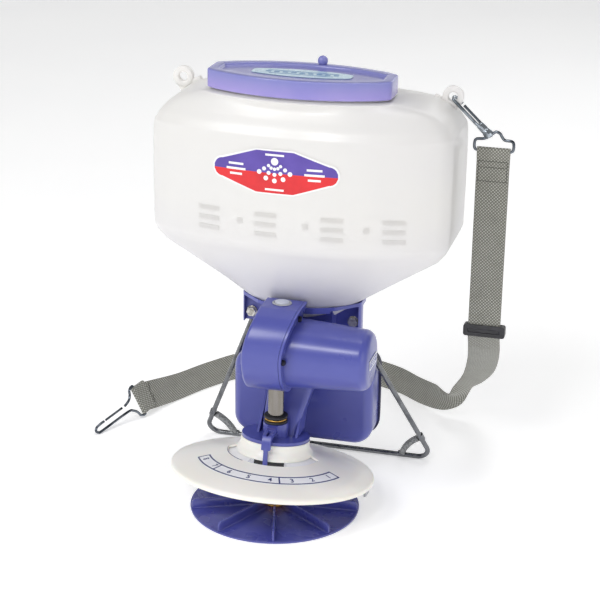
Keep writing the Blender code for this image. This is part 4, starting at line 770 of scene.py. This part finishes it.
def make_drop_plate():
    """The fixed ring under the deflector's slot, with the opening that the grains leave by."""
    profile = [(33, 11), (33, NECK_TOP), (NECK_R_IN - 0.5, NECK_TOP), (NECK_R_IN - 0.5, 24.5),
               (42.5, 20.0), (57, 14.6), (57, 13.2), (42, 18.6), (NECK_R_IN - 0.5, 21), (35, 11)]
    plate = mesh_object("drop_ring", *turned(profile, 96, True), GUARD_C, GUARD_TILT)
    carve(plate, *arc_band(NECK_R_IN - 0.1, 53.5, WINDOW_FROM, WINDOW_TO, 5, 28, 24), GUARD_TILT, GUARD_C)
    show(plate, "scale_white", stands_for=["drop_plate"])
    # A black band just inside the window: painted shade, so that the opening reads dark.
    back = arc_band(NECK_R_IN - 0.8, NECK_R_IN - 0.2, WINDOW_FROM, WINDOW_TO, 11, 24, 24)
    show(mesh_object("drop_window_shade", *back, GUARD_C, GUARD_TILT), "black_plastic")


# ---- gear case, switch and motor ---------------------------------------------------------
def case_body(inset, x0, x1, rounding, steps=44):
    """The case's shape between two sides, from its foot to its top, which leans to the motor."""
    low, high = CASE_FOOT_Z + inset, CASE_TOP_Z - inset
    rings = []
    for i in range(steps + 1):
        swing = -cos(pi * i / steps)
        z = CASE_Z + (CASE_Z - low if swing < 0 else high - CASE_Z) * swing
        front = -sqrt(max(100.0, (CASE_R - inset) ** 2 - (z - CASE_Z) ** 2))
        back = CASE_BACK_Y - inset - max(0.0, z - CASE_Z - 37) * 0.6
        lean = CASE_LEAN * max(0.0, (z - CASE_Z) / (CASE_TOP_Z - CASE_Z)) ** 1.5
        corner = arc(x0 + lean + rounding, front + rounding, rounding, 180, 270, 6)
        outline = [(x1 + lean, back), (x0 + lean, back)] + corner + [(x1 + lean, front)]
        rings.append(ring_at(outline, z))
    return loft(rings)


def make_gear_case():
    case = mesh_object("gear_cover", *case_body(0, CASE_X0, CASE_X1, 4))
    carve(case, *case_body(CASE_WALL, CASE_X0 + CASE_WALL, CASE_X1 + 5, 3))
    carve(case, *disc(SLEEVE_R + GAP, CASE_FOOT_Z - 5, CASE_FOOT_Z + 10))
    carve(case, *extrusion(oval(SWITCH_X, SWITCH_Y, SWITCH_HALF_W, SWITCH_HALF_D),
                           CASE_TOP_Z - 8, CASE_TOP_Z + 8))
    show(rounded(case, 0.9), "blue_plastic", stands_for=["gear_case"])


def switch_ring(grow, height):
    return ring_at(oval(SWITCH_X, SWITCH_Y, SWITCH_HALF_W + grow, SWITCH_HALF_D + grow), CASE_TOP_Z + height)


def make_switch():
    rim = ((1.6, GAP), (1.6, 0.9), (1.0, 1.4), (-0.4, 1.5), (-1.0, 1.2), (-1.0, GAP))
    show(mesh_object("switch_rim", *loft([switch_ring(*place) for place in rim], True)), "grey_plastic",
         stands_for=["switch_bezel"])
    stem = ((0, -9), (0, 1.9), (0.3, 2.4), (1.0, 2.8), (3.0, 2.9))
    button = [switch_ring(-1.4 - inset, height) for inset, height in stem]
    show(mesh_object("switch_button", *loft(button)), "button_grey", "button", ["power_button"])


def motor_profile(inset):
    end = MOTOR_X1 - inset
    return [(MOTOR_R0 - inset, CASE_X1 + GAP), (MOTOR_R1 + 1.0 - inset, end - 7),
            (MOTOR_R1 - 3.5 - inset, end - 1.2), (MOTOR_R1 - 10 - inset, end)]


def end_plate(name, half_w, half_h, low, high, rise=0.0):
    """A flat plate on the motor's end."""
    outline = rounded_box(0, MOTOR_Z + rise, half_w, half_h, min(1.2, 0.9 * half_h))
    face = MOTOR_X1 + GAP
    return mesh_object(name, *extrusion(outline, face + low, face + high, "x"))


def make_motor_housing():
    centre = (0, 0, MOTOR_Z)
    profile = [(0, CASE_X1 + GAP)] + fillet(motor_profile(0), 6.0, 6) + [(0, MOTOR_X1)]
    housing = mesh_object("motor_cover", *turned(profile, 96), centre, ALONG_X)
    fuse(housing, *case_body(0, CASE_X1 + GAP, CASE_X1 + FLANGE_THICK, 0.5))
    carve(housing, *case_body(-6, CASE_X0 - 20, CASE_X1 + GAP, 4))
    hollow = motor_profile(CASE_WALL)
    hollow = [(0, CASE_X1 - 4), (hollow[0][0], CASE_X1 - 4)] + hollow[1:] + [(0, MOTOR_X1 - CASE_WALL)]
    carve(housing, *turned(hollow, 64), ALONG_X, centre)
    show(rounded(housing, 0.5), "blue_plastic", stands_for=["motor_housing"])
    show(end_plate("motor_plate", PLATE_HALF_W, PLATE_HALF_H, 0, 0.5), "sticker_white",
         stands_for=["motor_end_label"])
    show(end_plate("motor_plate_field", PLATE_HALF_W - PLATE_BORDER, PLATE_HALF_H - PLATE_BORDER,
                   0.4, 0.62), "blue_plastic")
    marks = [end_plate("line", half_w, 0.55, 0.6, 0.72, rise) for half_w, rise in ((11.5, 1.5), (8, -1.5))]
    show(gather("motor_marks", marks), "sticker_white")


# ---- hub rings, guard and spinner --------------------------------------------------------
def make_hub_rings():
    bore, top = SHAFT_R + 0.5, CASE_FOOT_Z + CASE_WALL
    sleeve = [(bore, HUB_TOP + 9.2), (SLEEVE_R, HUB_TOP + 9.2), (SLEEVE_R, top), (bore, top)]
    show(rounded(mesh_object("sleeve_tube", *turned(sleeve, 64, True)), 0.6), "zinc",
         stands_for=["shaft_sleeve"])
    rings = (("hub_seal", "black_rubber", 0.3, 2.9, 13.6), ("brass_ring", "brass", 3.2, 5.6, 12.6),
             ("dust_ring", "black_rubber", 5.9, 8.9, 13.8))
    for name, finish, low, high, radius in rings:
        half, middle = (high - low) / 2, HUB_TOP + (low + high) / 2
        rim = arc(radius - half, middle, half, -90, 90, 8)
        profile = [(bore, middle - half)] + rim + [(bore, middle + half)]
        show(mesh_object(f"{name}_round", *turned(profile, 64, True)), finish, stands_for=[name])


def on_guard(radius, degrees, lift):
    """A point above the guard's upper face, at a radius and an angle."""
    rows = sorted(GUARD_PROFILE)
    height = rows[-1][1]
    for (r0, h0), (r1, h1) in zip(rows, rows[1:]):
        if r0 <= radius <= r1:
            height = h0 + (h1 - h0) * (radius - r0) / (r1 - r0)
            break
    angle = radians(degrees)
    return radius * cos(angle), radius * sin(angle), height + lift


def guard_patch(name, r0, r1, start, end, lift, steps):
    """A thin band that follows the guard's upper face: print, and the painted shade along the slot's edge."""
    rings = []
    for i in range(steps + 1):
        at = start + (end - start) * i / steps
        rings.append([on_guard(r, at, h) for r, h in ((r0, -0.6), (r1, -0.6), (r1, lift), (r0, lift))])
    return mesh_object(name, *loft(rings), GUARD_C, GUARD_TILT)


def flat_digit(number):
    """The flat mesh of one digit, with its doubled points joined."""
    text = bpy.data.curves.new("digit", "FONT")
    text.body, text.size, text.offset = str(number), DIGIT_HEIGHT, 0.018 * DIGIT_HEIGHT
    text.align_x, text.align_y = "CENTER", "CENTER"
    holder = add_object("digit", text)
    flat = evaluated_mesh(holder)
    bpy.data.objects.remove(holder)
    bm = bmesh.new()
    bm.from_mesh(flat)
    bmesh.ops.remove_doubles(bm, verts=bm.verts, dist=0.001)
    bm.to_mesh(flat)
    bm.free()
    return flat


def scale_digit(number, radius, degrees):
    """One digit printed on the guard, its foot toward the rim."""
    flat = flat_digit(number)
    points, faces, sides = [], [], {}
    for lift in (PRINT_LIFT, -0.5):
        for v in flat.vertices:
            r = radius - v.co.y
            points.append(on_guard(r, degrees + v.co.x / r * 180 / pi, lift))
    count = len(flat.vertices)
    for face in flat.polygons:
        loop = tuple(face.vertices)
        faces += [loop, tuple(i + count for i in loop[::-1])]
        sides.update(dict.fromkeys(zip(loop, loop[1:] + loop[:1])))
    faces += [(b, a, a + count, b + count) for a, b in sides if (b, a) not in sides]
    return mesh_object("digit", points, faces, GUARD_C, GUARD_TILT)


def make_guard():
    outer = [(GUARD_R, -3.5), (GUARD_R, 0.4)] + GUARD_PROFILE + [(NECK_R_OUT, NECK_TOP)]
    inner = [(NECK_R_IN, NECK_TOP), (NECK_R_IN, 29), (42, 21), (54, 16.4), (72, 11.7),
             (100, 4.5), (GUARD_R - 2.7, 0), (GUARD_R - 2.4, -3.5)]
    profile = fillet(outer, 3.0, 3) + fillet(inner, 3.0, 3)
    guard = mesh_object("guard_dome", *turned(profile, 144, True), GUARD_C, GUARD_TILT)
    carve(guard, *arc_band(SLOT_R0 - 1.5, SLOT_R1, SLOT_FROM, SLOT_TO, 12, 30, 60), GUARD_TILT, GUARD_C)
    show(rounded(guard, 0.5), "cream_plastic", "guard", ["deflector_guard"])
    skirt = mesh_object("guard_flap", *arc_band(110.6, 113.2, 355, 520, -13, -1.8, 72), GUARD_C, GUARD_TILT)
    show(rounded(skirt, 0.7), "grey_plastic", "guard", ["guard_skirt"])
    show(guard_patch("scale_back", SCALE_R0, SCALE_R1, SCALE_FROM, SCALE_TO, 0.1, 90), "scale_white", "guard")
    inside, outside, start, end = SCALE_R0 + 0.9, SCALE_R1 - 0.9, SCALE_FROM + 0.8, SCALE_TO - 0.8
    ink_and_slot_shade = [guard_patch("line", edge, edge + SCALE_LINE, start, end, PRINT_LIFT, 90)
           for edge in (inside, outside - SCALE_LINE)]
    ink_and_slot_shade += [guard_patch("bar", inside, outside, at, at + 1.2, PRINT_LIFT, 2)
            for at in (start, SCALE_FROM + 30, SCALE_FROM + 86, SCALE_TO - 1.6)]
    pitch = (SCALE_TO - SCALE_FROM - 18) / (SCALE_DIGITS - 1)
    ink_and_slot_shade += [scale_digit(SCALE_DIGITS - i, (SCALE_R0 + SCALE_R1) / 2, SCALE_FROM + 9 + i * pitch)
            for i in range(SCALE_DIGITS)]
    # A thin dark line along the slot's outer edge at its left end: painted shade, drawn in the scale's ink.
    ink_and_slot_shade.append(guard_patch("rim", SLOT_R1 + 0.4, SLOT_R1 + 1.0, SLOT_FROM, SLOT_FROM + 60, 0.2, 24))
    show(gather("scale_lines_and_slot_shade", ink_and_slot_shade), "scale_ink_and_slot_shade", "guard")


def make_spinner():
    """A disc with upright fins that slope down to a brass hub."""
    top, bore, boss = SPINNER_PLATE + FIN_HEIGHT, SHAFT_R + 0.3, SPINNER_PLATE + SPINNER_BOSS
    edge = fillet([(0, 0), (SPINNER_R, 0), (SPINNER_R, SPINNER_PLATE), (17, SPINNER_PLATE),
                   (15.5, boss), (bore, boss)], 0.8, 3)
    plate = edge + [(bore, SPINNER_PLATE + GAP), (0, SPINNER_PLATE + GAP)]
    parts = [mesh_object("plate", *turned(plate, 144))]
    fin = [(13, SPINNER_PLATE - 1), (SPINNER_R - 1.2, SPINNER_PLATE - 1), (SPINNER_R - 1.2, top - 3.5),
           (SPINNER_R - 4.5, top), (34, top), (13, SPINNER_PLATE + 4)]
    foot = [[(reach, y, SPINNER_PLATE + z)
             for y, z in ((-half, -0.6), (half, -0.6), (0.9, rise), (-0.9, rise))]
            for reach, half, rise in ((14, 2.6, 2.2), (SPINNER_R - 2, 2.2, 1.4))]
    for i in range(FIN_COUNT):
        turn = Matrix.Rotation(radians(FIN_FIRST + i * 360 / FIN_COUNT), 3, "Z")
        made = mesh_object("fin", *extrusion(fin, -FIN_THICK / 2, FIN_THICK / 2, "y"), turn=turn)
        parts += [settle(rounded(made, 0.6)), mesh_object("foot", *loft(foot), turn=turn)]
    show(gather("spinner_plate", parts), "spinner_blue", "spinner", ["spinner_disc"])
    hub = fillet([(bore, boss), (14.2, boss), (14.2, boss + 2.2), (8.6, boss + 3.0), (8.2, top - 1),
                  (bore, top - 1)], 0.7, 3)
    show(mesh_object("spinner_hub", *turned(hub, 64, True)), "brass", "spinner")


# ---- battery box -------------------------------------------------------------------------
def box_ring(inset, y):
    outline = rounded_rect(BOX_X0 + inset, BOX_Z0 + inset, BOX_X1 - inset, BOX_Z1 - inset,
                           BOX_CORNER - inset, 10)
    return [(x, y, z) for x, z in outline]


def pillow(face_y, inward, depth=12.0, inset=11.0, steps=9):
    """Rings that round a box's face over, from the side to the middle."""
    swings = [pi / 2 * i / steps for i in range(steps + 1)]
    return [box_ring(inset * (1 - cos(a)), face_y + inward * depth * (1 - sin(a))) for a in swings]


def make_half(name, face_y, open_y, inward, finish, body, node, knuckles):
    """Half of the box, hollow, with its hinge knuckles (two places in x, two in y from the pin)."""
    hollow = [box_ring(inset, y) for inset, y in (
        (BOX_WALL, open_y + inward * 3), (BOX_WALL, face_y + inward * 12),
        (5.0, face_y + inward * 5.4), (11, face_y + inward * 3.2))]
    shell = mesh_object(name, *loft([box_ring(0, open_y)] + pillow(face_y, inward)))
    carve(shell, *loft(hollow))
    for x0, x1, y0, y1 in knuckles:
        fuse(shell, *extrusion(arc(HINGE_Y, HINGE_Z, 3.4, 0, 360, 40)[:-1], x0, x1, "x"))
        fuse(shell, *block((x0 + 0.1, HINGE_Y + y0, HINGE_Z - 1.2), (x1 - 0.1, HINGE_Y + y1, BOX_Z0 + 1.6)))
        carve(shell, *extrusion(arc(HINGE_Y, HINGE_Z, 1.7, 0, 360, 32)[:-1], x0 - 3, x1 + 3, "x"))
    show(rounded(shell, 0.5), finish, body, [node])


def make_battery_box():
    seal_start, seal_end = BOX_SPLIT_Y + GAP, BOX_SPLIT_Y + GAP + 3
    make_half("battery_front", BOX_Y0, BOX_SPLIT_Y, 1, "blue_plastic", "spreader", "battery_case",
              ((HINGE_X - 21, HINGE_X - 12.3, -8, -2), (HINGE_X + 12.3, HINGE_X + 21, -8, -2)))
    make_half("battery_back", BOX_Y1, seal_end + GAP, -1, "navy_rubber", "battery_door",
              "battery_door", ((HINGE_X - 12, HINGE_X + 12, 2.2, 8),))
    band = [box_ring(inset, y) for inset, y in ((SEAL_OUT, seal_start), (SEAL_OUT, seal_end),
                                                (SEAL_IN, seal_end), (SEAL_IN, seal_start))]
    show(rounded(mesh_object("battery_seal", *loft(band, True)), 1.2), "navy_rubber", "battery_door",
         ["battery_gasket"])


# ---- stand -------------------------------------------------------------------------------
def stand_corner(side):
    top = Vector((TANK_X + side * BOLT_DX, WEB_Y1 + GAP + ROD_R, BOLT_Z))
    return top, Vector((FOOT_RIGHT_X if side > 0 else FOOT_LEFT_X, FOOT_Y, ROD_R))


def make_stand():
    (top_l, foot_l), (top_r, foot_r) = stand_corner(-1), stand_corner(1)
    neck_l, neck_r = (top + Vector((side * 2, 0.8, -12)) for side, top in ((-1, top_l), (1, top_r)))
    path = [top_l + Vector((0, 0, -5.6)), neck_l + Vector((0.8, -0.6, 3)), neck_l]
    path += rounded_corner(neck_l, foot_l, foot_r, FOOT_BEND_R, 20)
    path += rounded_corner(foot_l, foot_r, neck_r, FOOT_BEND_R, 20)
    path += [neck_r, neck_r + Vector((-0.8, -0.6, 3)), top_r + Vector((0, 0, -5.6))]
    parts = [mesh_object("rod", *sweep(path, ROD_R, 24))]
    for top in (top_l, top_r):
        parts.append(mesh_object("eye", *turned(eyelet(3.3, 6.6, RING_THICK, 1.0), 40, True),
                                 (top.x, WEB_Y1 + GAP + RING_THICK / 2, top.z), ALONG_Y))
    show(gather("stand_rod", parts), "steel", stands_for=["stand_frame"])
    for side, word in ((-1, "left"), (1, "right")):
        make_eye_strip(word, side)


def make_eye_strip(word, side):
    """Curved strip that closes the bend at the foot of the stand, with a crimp at each end."""
    top, foot = stand_corner(side)
    up, along = (top - foot).normalized(), Vector((-side, 0, 0))
    across = up.cross(along).normalized()
    lift = ROD_R + GAP + 1.0
    inner_up = across.cross(up) * (1 if across.cross(up).dot(along) > 0 else -1)
    inner_along = (up - along * up.dot(along)).normalized()
    a = foot + up * EYE_REACH + inner_up * lift
    d = foot + along * EYE_REACH + inner_along * lift
    middle = (a + d) / 2
    bulge = middle + (middle - foot - (up + along) * EYE_REACH / 2) * 0.16 + (up + along) * 1.5
    out = (bulge - middle) * 0.75
    path = curve_through([a, (a * 3 + d) / 4 + out, bulge, (a + 3 * d) / 4 + out, d], 10)
    section = rounded_box(0, 0, 3.2, 3.4, 1.3, 4)
    rings = []
    for point, ahead in zip(path, directions(path)):
        thick = ahead.cross(across).normalized()
        rings.append([point + across * u + thick * v for u, v in section])
    show(mesh_object(f"eye_strip_{word}_fine", *loft(rings)), "grey_vinyl",
         stands_for=[f"eye_strip_{word}"])
    bore, outer, half = ROD_R + 0.05, ROD_R + 1.0, 4.5
    crimp = fillet([(bore, -half), (outer, -half), (outer, half), (bore, half)], 0.7)
    crimps = []
    for direction, clear in ((up, 0), (along, 1.0)):
        where = foot + direction * (EYE_REACH + 1.0) + Vector((0, 0, clear))
        crimps.append(mesh_object("crimp", *turned(crimp, 32, True), where, toward(direction)))
    show(gather(f"eye_crimps_{word}", crimps), "steel")


# ---- strap and fittings ------------------------------------------------------------------
def lay_plan(obj, count, place):
    """Gives webbing its plan in metres; place(ring, corner) is in millimetres."""
    plan = obj.data.uv_layers.new(name="plan")
    for loop in obj.data.loops:
        along, across = place(*divmod(loop.vertex_index, count))
        plan.data[loop.index].uv = (along * MM, across * MM)
    return obj


def strap_mesh(name, path, widths, half_width, half_thick):
    """Webbing along a path, with a thin selvedge."""
    edge = [(-1.0, 0.0), (-0.985, -0.7), (-0.9, -1.0), (-0.3, -1.0), (0.3, -1.0), (0.9, -1.0), (0.985, -0.7)]
    section = edge + [(-u, -v) for u, v in edge]
    rings, lengths = [], []
    for i, (point, ahead) in enumerate(zip(path, directions(path))):
        across = (widths[i] - ahead * widths[i].dot(ahead)).normalized()
        thick = ahead.cross(across)
        rings.append([point + across * (half_width * u) + thick * (half_thick * v) for u, v in section])
        lengths.append(lengths[-1] + (point - path[i - 1]).length if i else 0.0)
    return lay_plan(mesh_object(name, *loft(rings), sharp=50), len(section),
                    lambda ring, corner: (lengths[ring], section[corner][0] * half_width))


def wrap_mesh(name, bar, across, back, tail):
    """Webbing folded round a hook's wire, then flat on both sides for the length of its tail."""
    face = across.cross(back)
    radius, flat, inside = HOOK_WIRE_R + STRAP_T + 0.15, STRAP_T + 0.12, HOOK_WIRE_R + 0.1
    bend = [(radius * -sin(a), radius * cos(a)) for a in (radians(12 * i) for i in range(16))]
    hollow = [(inside * cos(a), -inside * sin(a)) for a in (radians(20 + 20 * i) for i in range(17))]
    ring = [(tail, flat), (radius * 1.6, flat)] + bend + [(radius * 1.6, -flat), (tail, -flat)]
    ring += [(tail, -0.05), (inside, -0.05)] + hollow + [(inside, 0.05), (tail, 0.05)]
    half_width = STRAP_W / 2
    rings = [[bar + across * (half_width * share) + back * u + face * v for u, v in ring]
             for share in FOLD_SHARES]
    return lay_plan(mesh_object(name, *loft(rings), sharp=50), len(ring),
                    lambda row, place: (ring[place][0], FOLD_SHARES[row] * half_width))


def stitch_row(start, step, count):
    """Short raised threads along a line of steps."""
    threads = []
    for i in range(count):
        a, b = start + step * (i + 0.12), start + step * (i + 0.88)
        threads.append(mesh_object("thread", *sweep([a, (a + b) / 2, b], 0.32, 8)))
    return threads


def make_upper_strap():
    """Two layers from the buckle up to the right hook, sewn below the fold."""
    low, high = STRAP_BUCKLE_Z - 5.5, STRAP_TOP_Z
    half, steps, across = STRAP_T / 2, 24, Vector((1, 0, 0))
    layers = []
    for side, word in ((-1, "front"), (1, "back")):
        path = [Vector((STRAP_X, STRAP_Y + side * (half + 0.03), low + (high - low) * i / steps))
                for i in range(steps + 1)]
        layers.append(strap_mesh(f"strap_{word}", path, [across] * len(path), STRAP_W / 2, half - 0.05))
    threads, face, wide = [], STRAP_Y - STRAP_T - 0.05, STRAP_W - 4
    for drop in (10, 17, 33):
        threads += stitch_row(Vector((STRAP_X - wide / 2, face, high - drop)), across * (wide / 12), 12)
    for edge in (-1, 1):
        threads += stitch_row(Vector((STRAP_X + edge * (STRAP_W / 2 - 2.4), face, high - 10)),
                              Vector((0, 0, -23 / 8)), 8)
    seam = gather("strap_seam_right", threads)
    fold = wrap_mesh("strap_fold_right", Vector((STRAP_X, STRAP_Y, high + GAP + HOOK_WIRE_R)), across,
                     Vector((0, 0, -1)), 9.0)
    show(fold, "webbing")
    show(seam, "thread")
    show(layers[0], "webbing", stands_for=["strap_upper"])
    show(layers[1], "webbing")


def make_lower_strap():
    """The single run from the buckle round to the left hook, with its sewn end."""
    path, widths = (curve_through(rows, 10) for rows in zip(*STRAP_ROUTE))
    lower = strap_mesh("strap_long", path, widths, STRAP_W / 2, STRAP_T / 2)
    end, ahead = path[-1], (path[-1] - path[-6]).normalized()
    wide = (widths[-1] - ahead * widths[-1].dot(ahead)).normalized()
    face, row = ahead.cross(wide), STRAP_W - 4
    threads = []
    for back, height in ((12, STRAP_T + 0.3), (17, STRAP_T / 2 + 0.05)):
        for side in (-1, 1):
            start = end - ahead * back + face * (side * height) - wide * (row / 2)
            threads += stitch_row(start, wide * (row / 12), 12)
    hem = gather("strap_seam_left", threads)
    show(hem, "thread")
    hook_ahead = (Vector(HOOK_TIP_LEFT) - end).normalized()
    hook_wide = (wide - hook_ahead * wide.dot(hook_ahead)).normalized()
    fold = wrap_mesh("strap_fold_left", end + hook_ahead * (HOOK_WIRE_R + 6.0), hook_wide, -hook_ahead, 18.0)
    show(fold, "webbing")
    show(lower, "webbing", stands_for=["strap_lower"])


def make_buckle():
    half, deep = STRAP_W / 2 + 0.5, 5.2
    z, y, slot = STRAP_BUCKLE_Z, STRAP_Y, STRAP_T + 0.5
    outline = rounded_box(STRAP_X + 0.5, z, 24, 7, 3)
    ladder = mesh_object("buckle_ladder", *extrusion(outline, y - deep, y + deep, "y"))
    carve(ladder, *block((STRAP_X - half, y - slot, z - 20), (STRAP_X + half, y + slot, z + 20)))
    for y0, y1 in ((y - deep, y - deep + 1.6), (y + deep - 1.6, y + deep)):
        carve(ladder, *block((STRAP_X - half + 1, y0, z - 2.2), (STRAP_X + half - 1, y1, z + 2.2)))
    show(rounded(ladder, 0.9), "black_plastic", "buckle", ["strap_buckle"])


def make_right_hook():
    bar_z = STRAP_TOP_Z + GAP + HOOK_WIRE_R
    outline = [(-3, 17.5), (-7, 15.2), (-12, 13), (-19, 12.2), (-21.6, 9.5), (-21.8, 3), (-20, 0.3),
               (-16, 0), (0, 0), (16, 0), (20, 0.3), (21.8, 3), (21.6, 9.5), (19, 12.2), (12, 12.8),
               (8.6, 16), (6, 20), (1.5, 21.6), (-3, 18.5)]
    path = [(STRAP_X + across, STRAP_Y, bar_z + along) for across, along in outline]
    show(mesh_object("loop_right", *sweep(curve_through(path, 8), HOOK_WIRE_R)), "nickel",
         stands_for=["strap_loop_right"])
    swivel = Vector((STRAP_X - 9.5, STRAP_Y, bar_z + 21))
    eye = Vector((TANK_X + LUG_X + 0.6, LUG_Y, LUG_Z - 1.0))
    ahead, aside = (eye - swivel).normalized(), Vector((0, 1, 0))
    start, spread = swivel + ahead * 5.5, LUG_THICK / 2 + 3.6
    wire = [start + ahead * along + aside * y for along, y in ((0, -2.4), (8, 0.6 - spread), (16, -spread))]
    wire += [eye + ahead * along + aside * y for along, y in (
        (-5, -spread), (-1.2, 1.6 - spread), (0, -1.5), (0, 1.5), (-1.2, spread - 1.6), (-5, spread),
        (-12.2, spread))]
    collar = fillet([(0, -8.5), (5.2, -8.5), (5.6, -5), (5.0, -0.5), (4.3, 0.3), (4.7, 1.2), (4.4, 9),
                     (2.5, 11), (0, 11)], 0.8)
    parts = [mesh_object("wire", *sweep(curve_through(wire, 8), 1.9)),
             mesh_object("collar", *turned(collar, 40), swivel + ahead * 1.5, toward(ahead))]
    show(gather("hook_right", parts), "chrome", stands_for=["strap_hook_right"])
    make_gate("right", start + ahead * 4.2 + aside * (spread + 0.2), eye - ahead * 14.6 + aside * spread, 1.6)


def make_left_hook():
    """Wire hook at the webbing's free end, leaning down until its tip lies on the ground."""
    end, across = (Vector(row) for row in STRAP_ROUTE[-1])
    tip = Vector(HOOK_TIP_LEFT)
    ahead = (tip - end).normalized()
    across = -(across.normalized() - ahead * across.normalized().dot(ahead)).normalized()
    bar = HOOK_WIRE_R + 6.0
    reach = (tip - end).length - bar

    def at(along, rise):
        return end + ahead * (along + bar) + across * rise

    side = [(24, 4.4), (15, 7.4), (10, 12.6), (8, 17.6), (4, 20.2), (2.5, 20.0), (0, 17.1)]
    beak = [(reach - 9, -4.4), (reach - 3, -3.6), (reach, -0.2), (reach - 3, 3.2),
            (reach - 9, 4.2), (reach - 17, 4.4)]
    path = [at(*p) for p in side + [(along, -rise) for along, rise in side[::-1]] + beak]
    show(mesh_object("hook_left", *sweep(curve_through(path, 8), HOOK_WIRE_R)), "nickel",
         stands_for=["strap_hook_left"])
    make_gate("left", at(29, 4.6), at(reach - 20, 4.4), 1.5)


def make_gate(word, foot, tip, radius):
    show(mesh_object(f"gate_{word}_wire", *sweep([foot, foot.lerp(tip, 0.5), tip], radius)), "nickel",
         f"gate_{word}", [f"hook_gate_{word}"])


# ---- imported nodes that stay, stage and camera --------------------------------------------
def finish_nodes():
    """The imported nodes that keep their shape: joined facets, rounded edges, real finishes."""
    cells = {name: "cell_wrap" for name in NODES if name.startswith("battery_cell_")}
    for name, finish in {**NODE_FINISH, **cells}.items():
        node = NODES[name]
        node.data.materials.clear()
        node.data.materials.append(FINISHES[finish].material)
        node.modifiers.new("weld", "WELD").merge_threshold = 0.00001
        rounded(node, EDGE_WIDTH.get(name, 0.4), 2)


def make_floor():
    """A pale round floor that curves up into a low rim, far away on all sides."""
    reach, radius, height = 6500, 1500, 2400
    rim = [(reach + x, radius + z) for x, z in arc(0, 0, radius, -90, 0, 16)]
    points, faces = turned([(0, 0)] + rim + [(reach + radius, height)], 96)
    floor = mesh_object("floor", points, faces[:-1])
    paper = Finish("tank_plastic", (253, 253, 253), 0.9, name="floor_paper", Specular_IOR_Level=0.1,
                   Emission_Color=(1, 1, 1, 1), Emission_Strength=FLOOR_GLOW)
    floor.data.materials.append(paper.mottle((250, 250, 251), 3.0).material)


def make_lights():
    world = bpy.data.worlds.new("studio")
    bpy.context.scene.world = world
    world.use_nodes = True
    light = world.node_tree.nodes["Background"].inputs
    light["Color"].default_value, light["Strength"].default_value = (1, 1, 1, 1), WORLD_LIGHT
    for name, where, size, watts in LIGHTS:
        lamp = bpy.data.lights.new(name, "AREA")
        lamp.shape, lamp.size, lamp.energy = "DISK", size, watts
        holder = add_object(name, lamp)
        holder.location = where
        holder.rotation_euler = (LIGHT_AIM - Vector(where)).to_track_quat("-Z", "Y").to_euler()


def make_camera():
    a, e = CAMERA_AZIMUTH, CAMERA_ELEVATION
    forward = Vector((-sin(a) * cos(e), cos(a) * cos(e), -sin(e)))
    level = Vector((cos(a), sin(a), 0))
    up = Vector((-sin(a) * sin(e), cos(a) * sin(e), cos(e)))
    right = cos(CAMERA_ROLL) * level - sin(CAMERA_ROLL) * up
    top = sin(CAMERA_ROLL) * level + cos(CAMERA_ROLL) * up
    place = CAMERA_TARGET - forward * CAMERA_DISTANCE - right * TARGET_SHIFT.x - top * TARGET_SHIFT.y
    lens = bpy.data.cameras.new("view")
    lens.lens, lens.sensor_width = CAMERA_LENS, 36.0
    camera = add_object("view", lens)
    axes = Matrix((right, top, -forward)).transposed().to_4x4()
    camera.matrix_world = Matrix.Translation(place) @ axes
    bpy.context.scene.camera = camera


# ---- build -------------------------------------------------------------------------------
def main():
    bpy.context.scene.view_settings.view_transform = "Standard"
    for make in (make_camera, make_floor, make_lights, make_tank, make_label, make_lid, make_chute,
                 make_pointer, make_drop_plate, make_gear_case, make_switch, make_motor_housing,
                 make_hub_rings, make_guard, make_spinner, make_battery_box, make_stand,
                 make_upper_strap, make_lower_strap, make_buckle, make_right_hook, make_left_hook,
                 finish_nodes):
        make()


main()
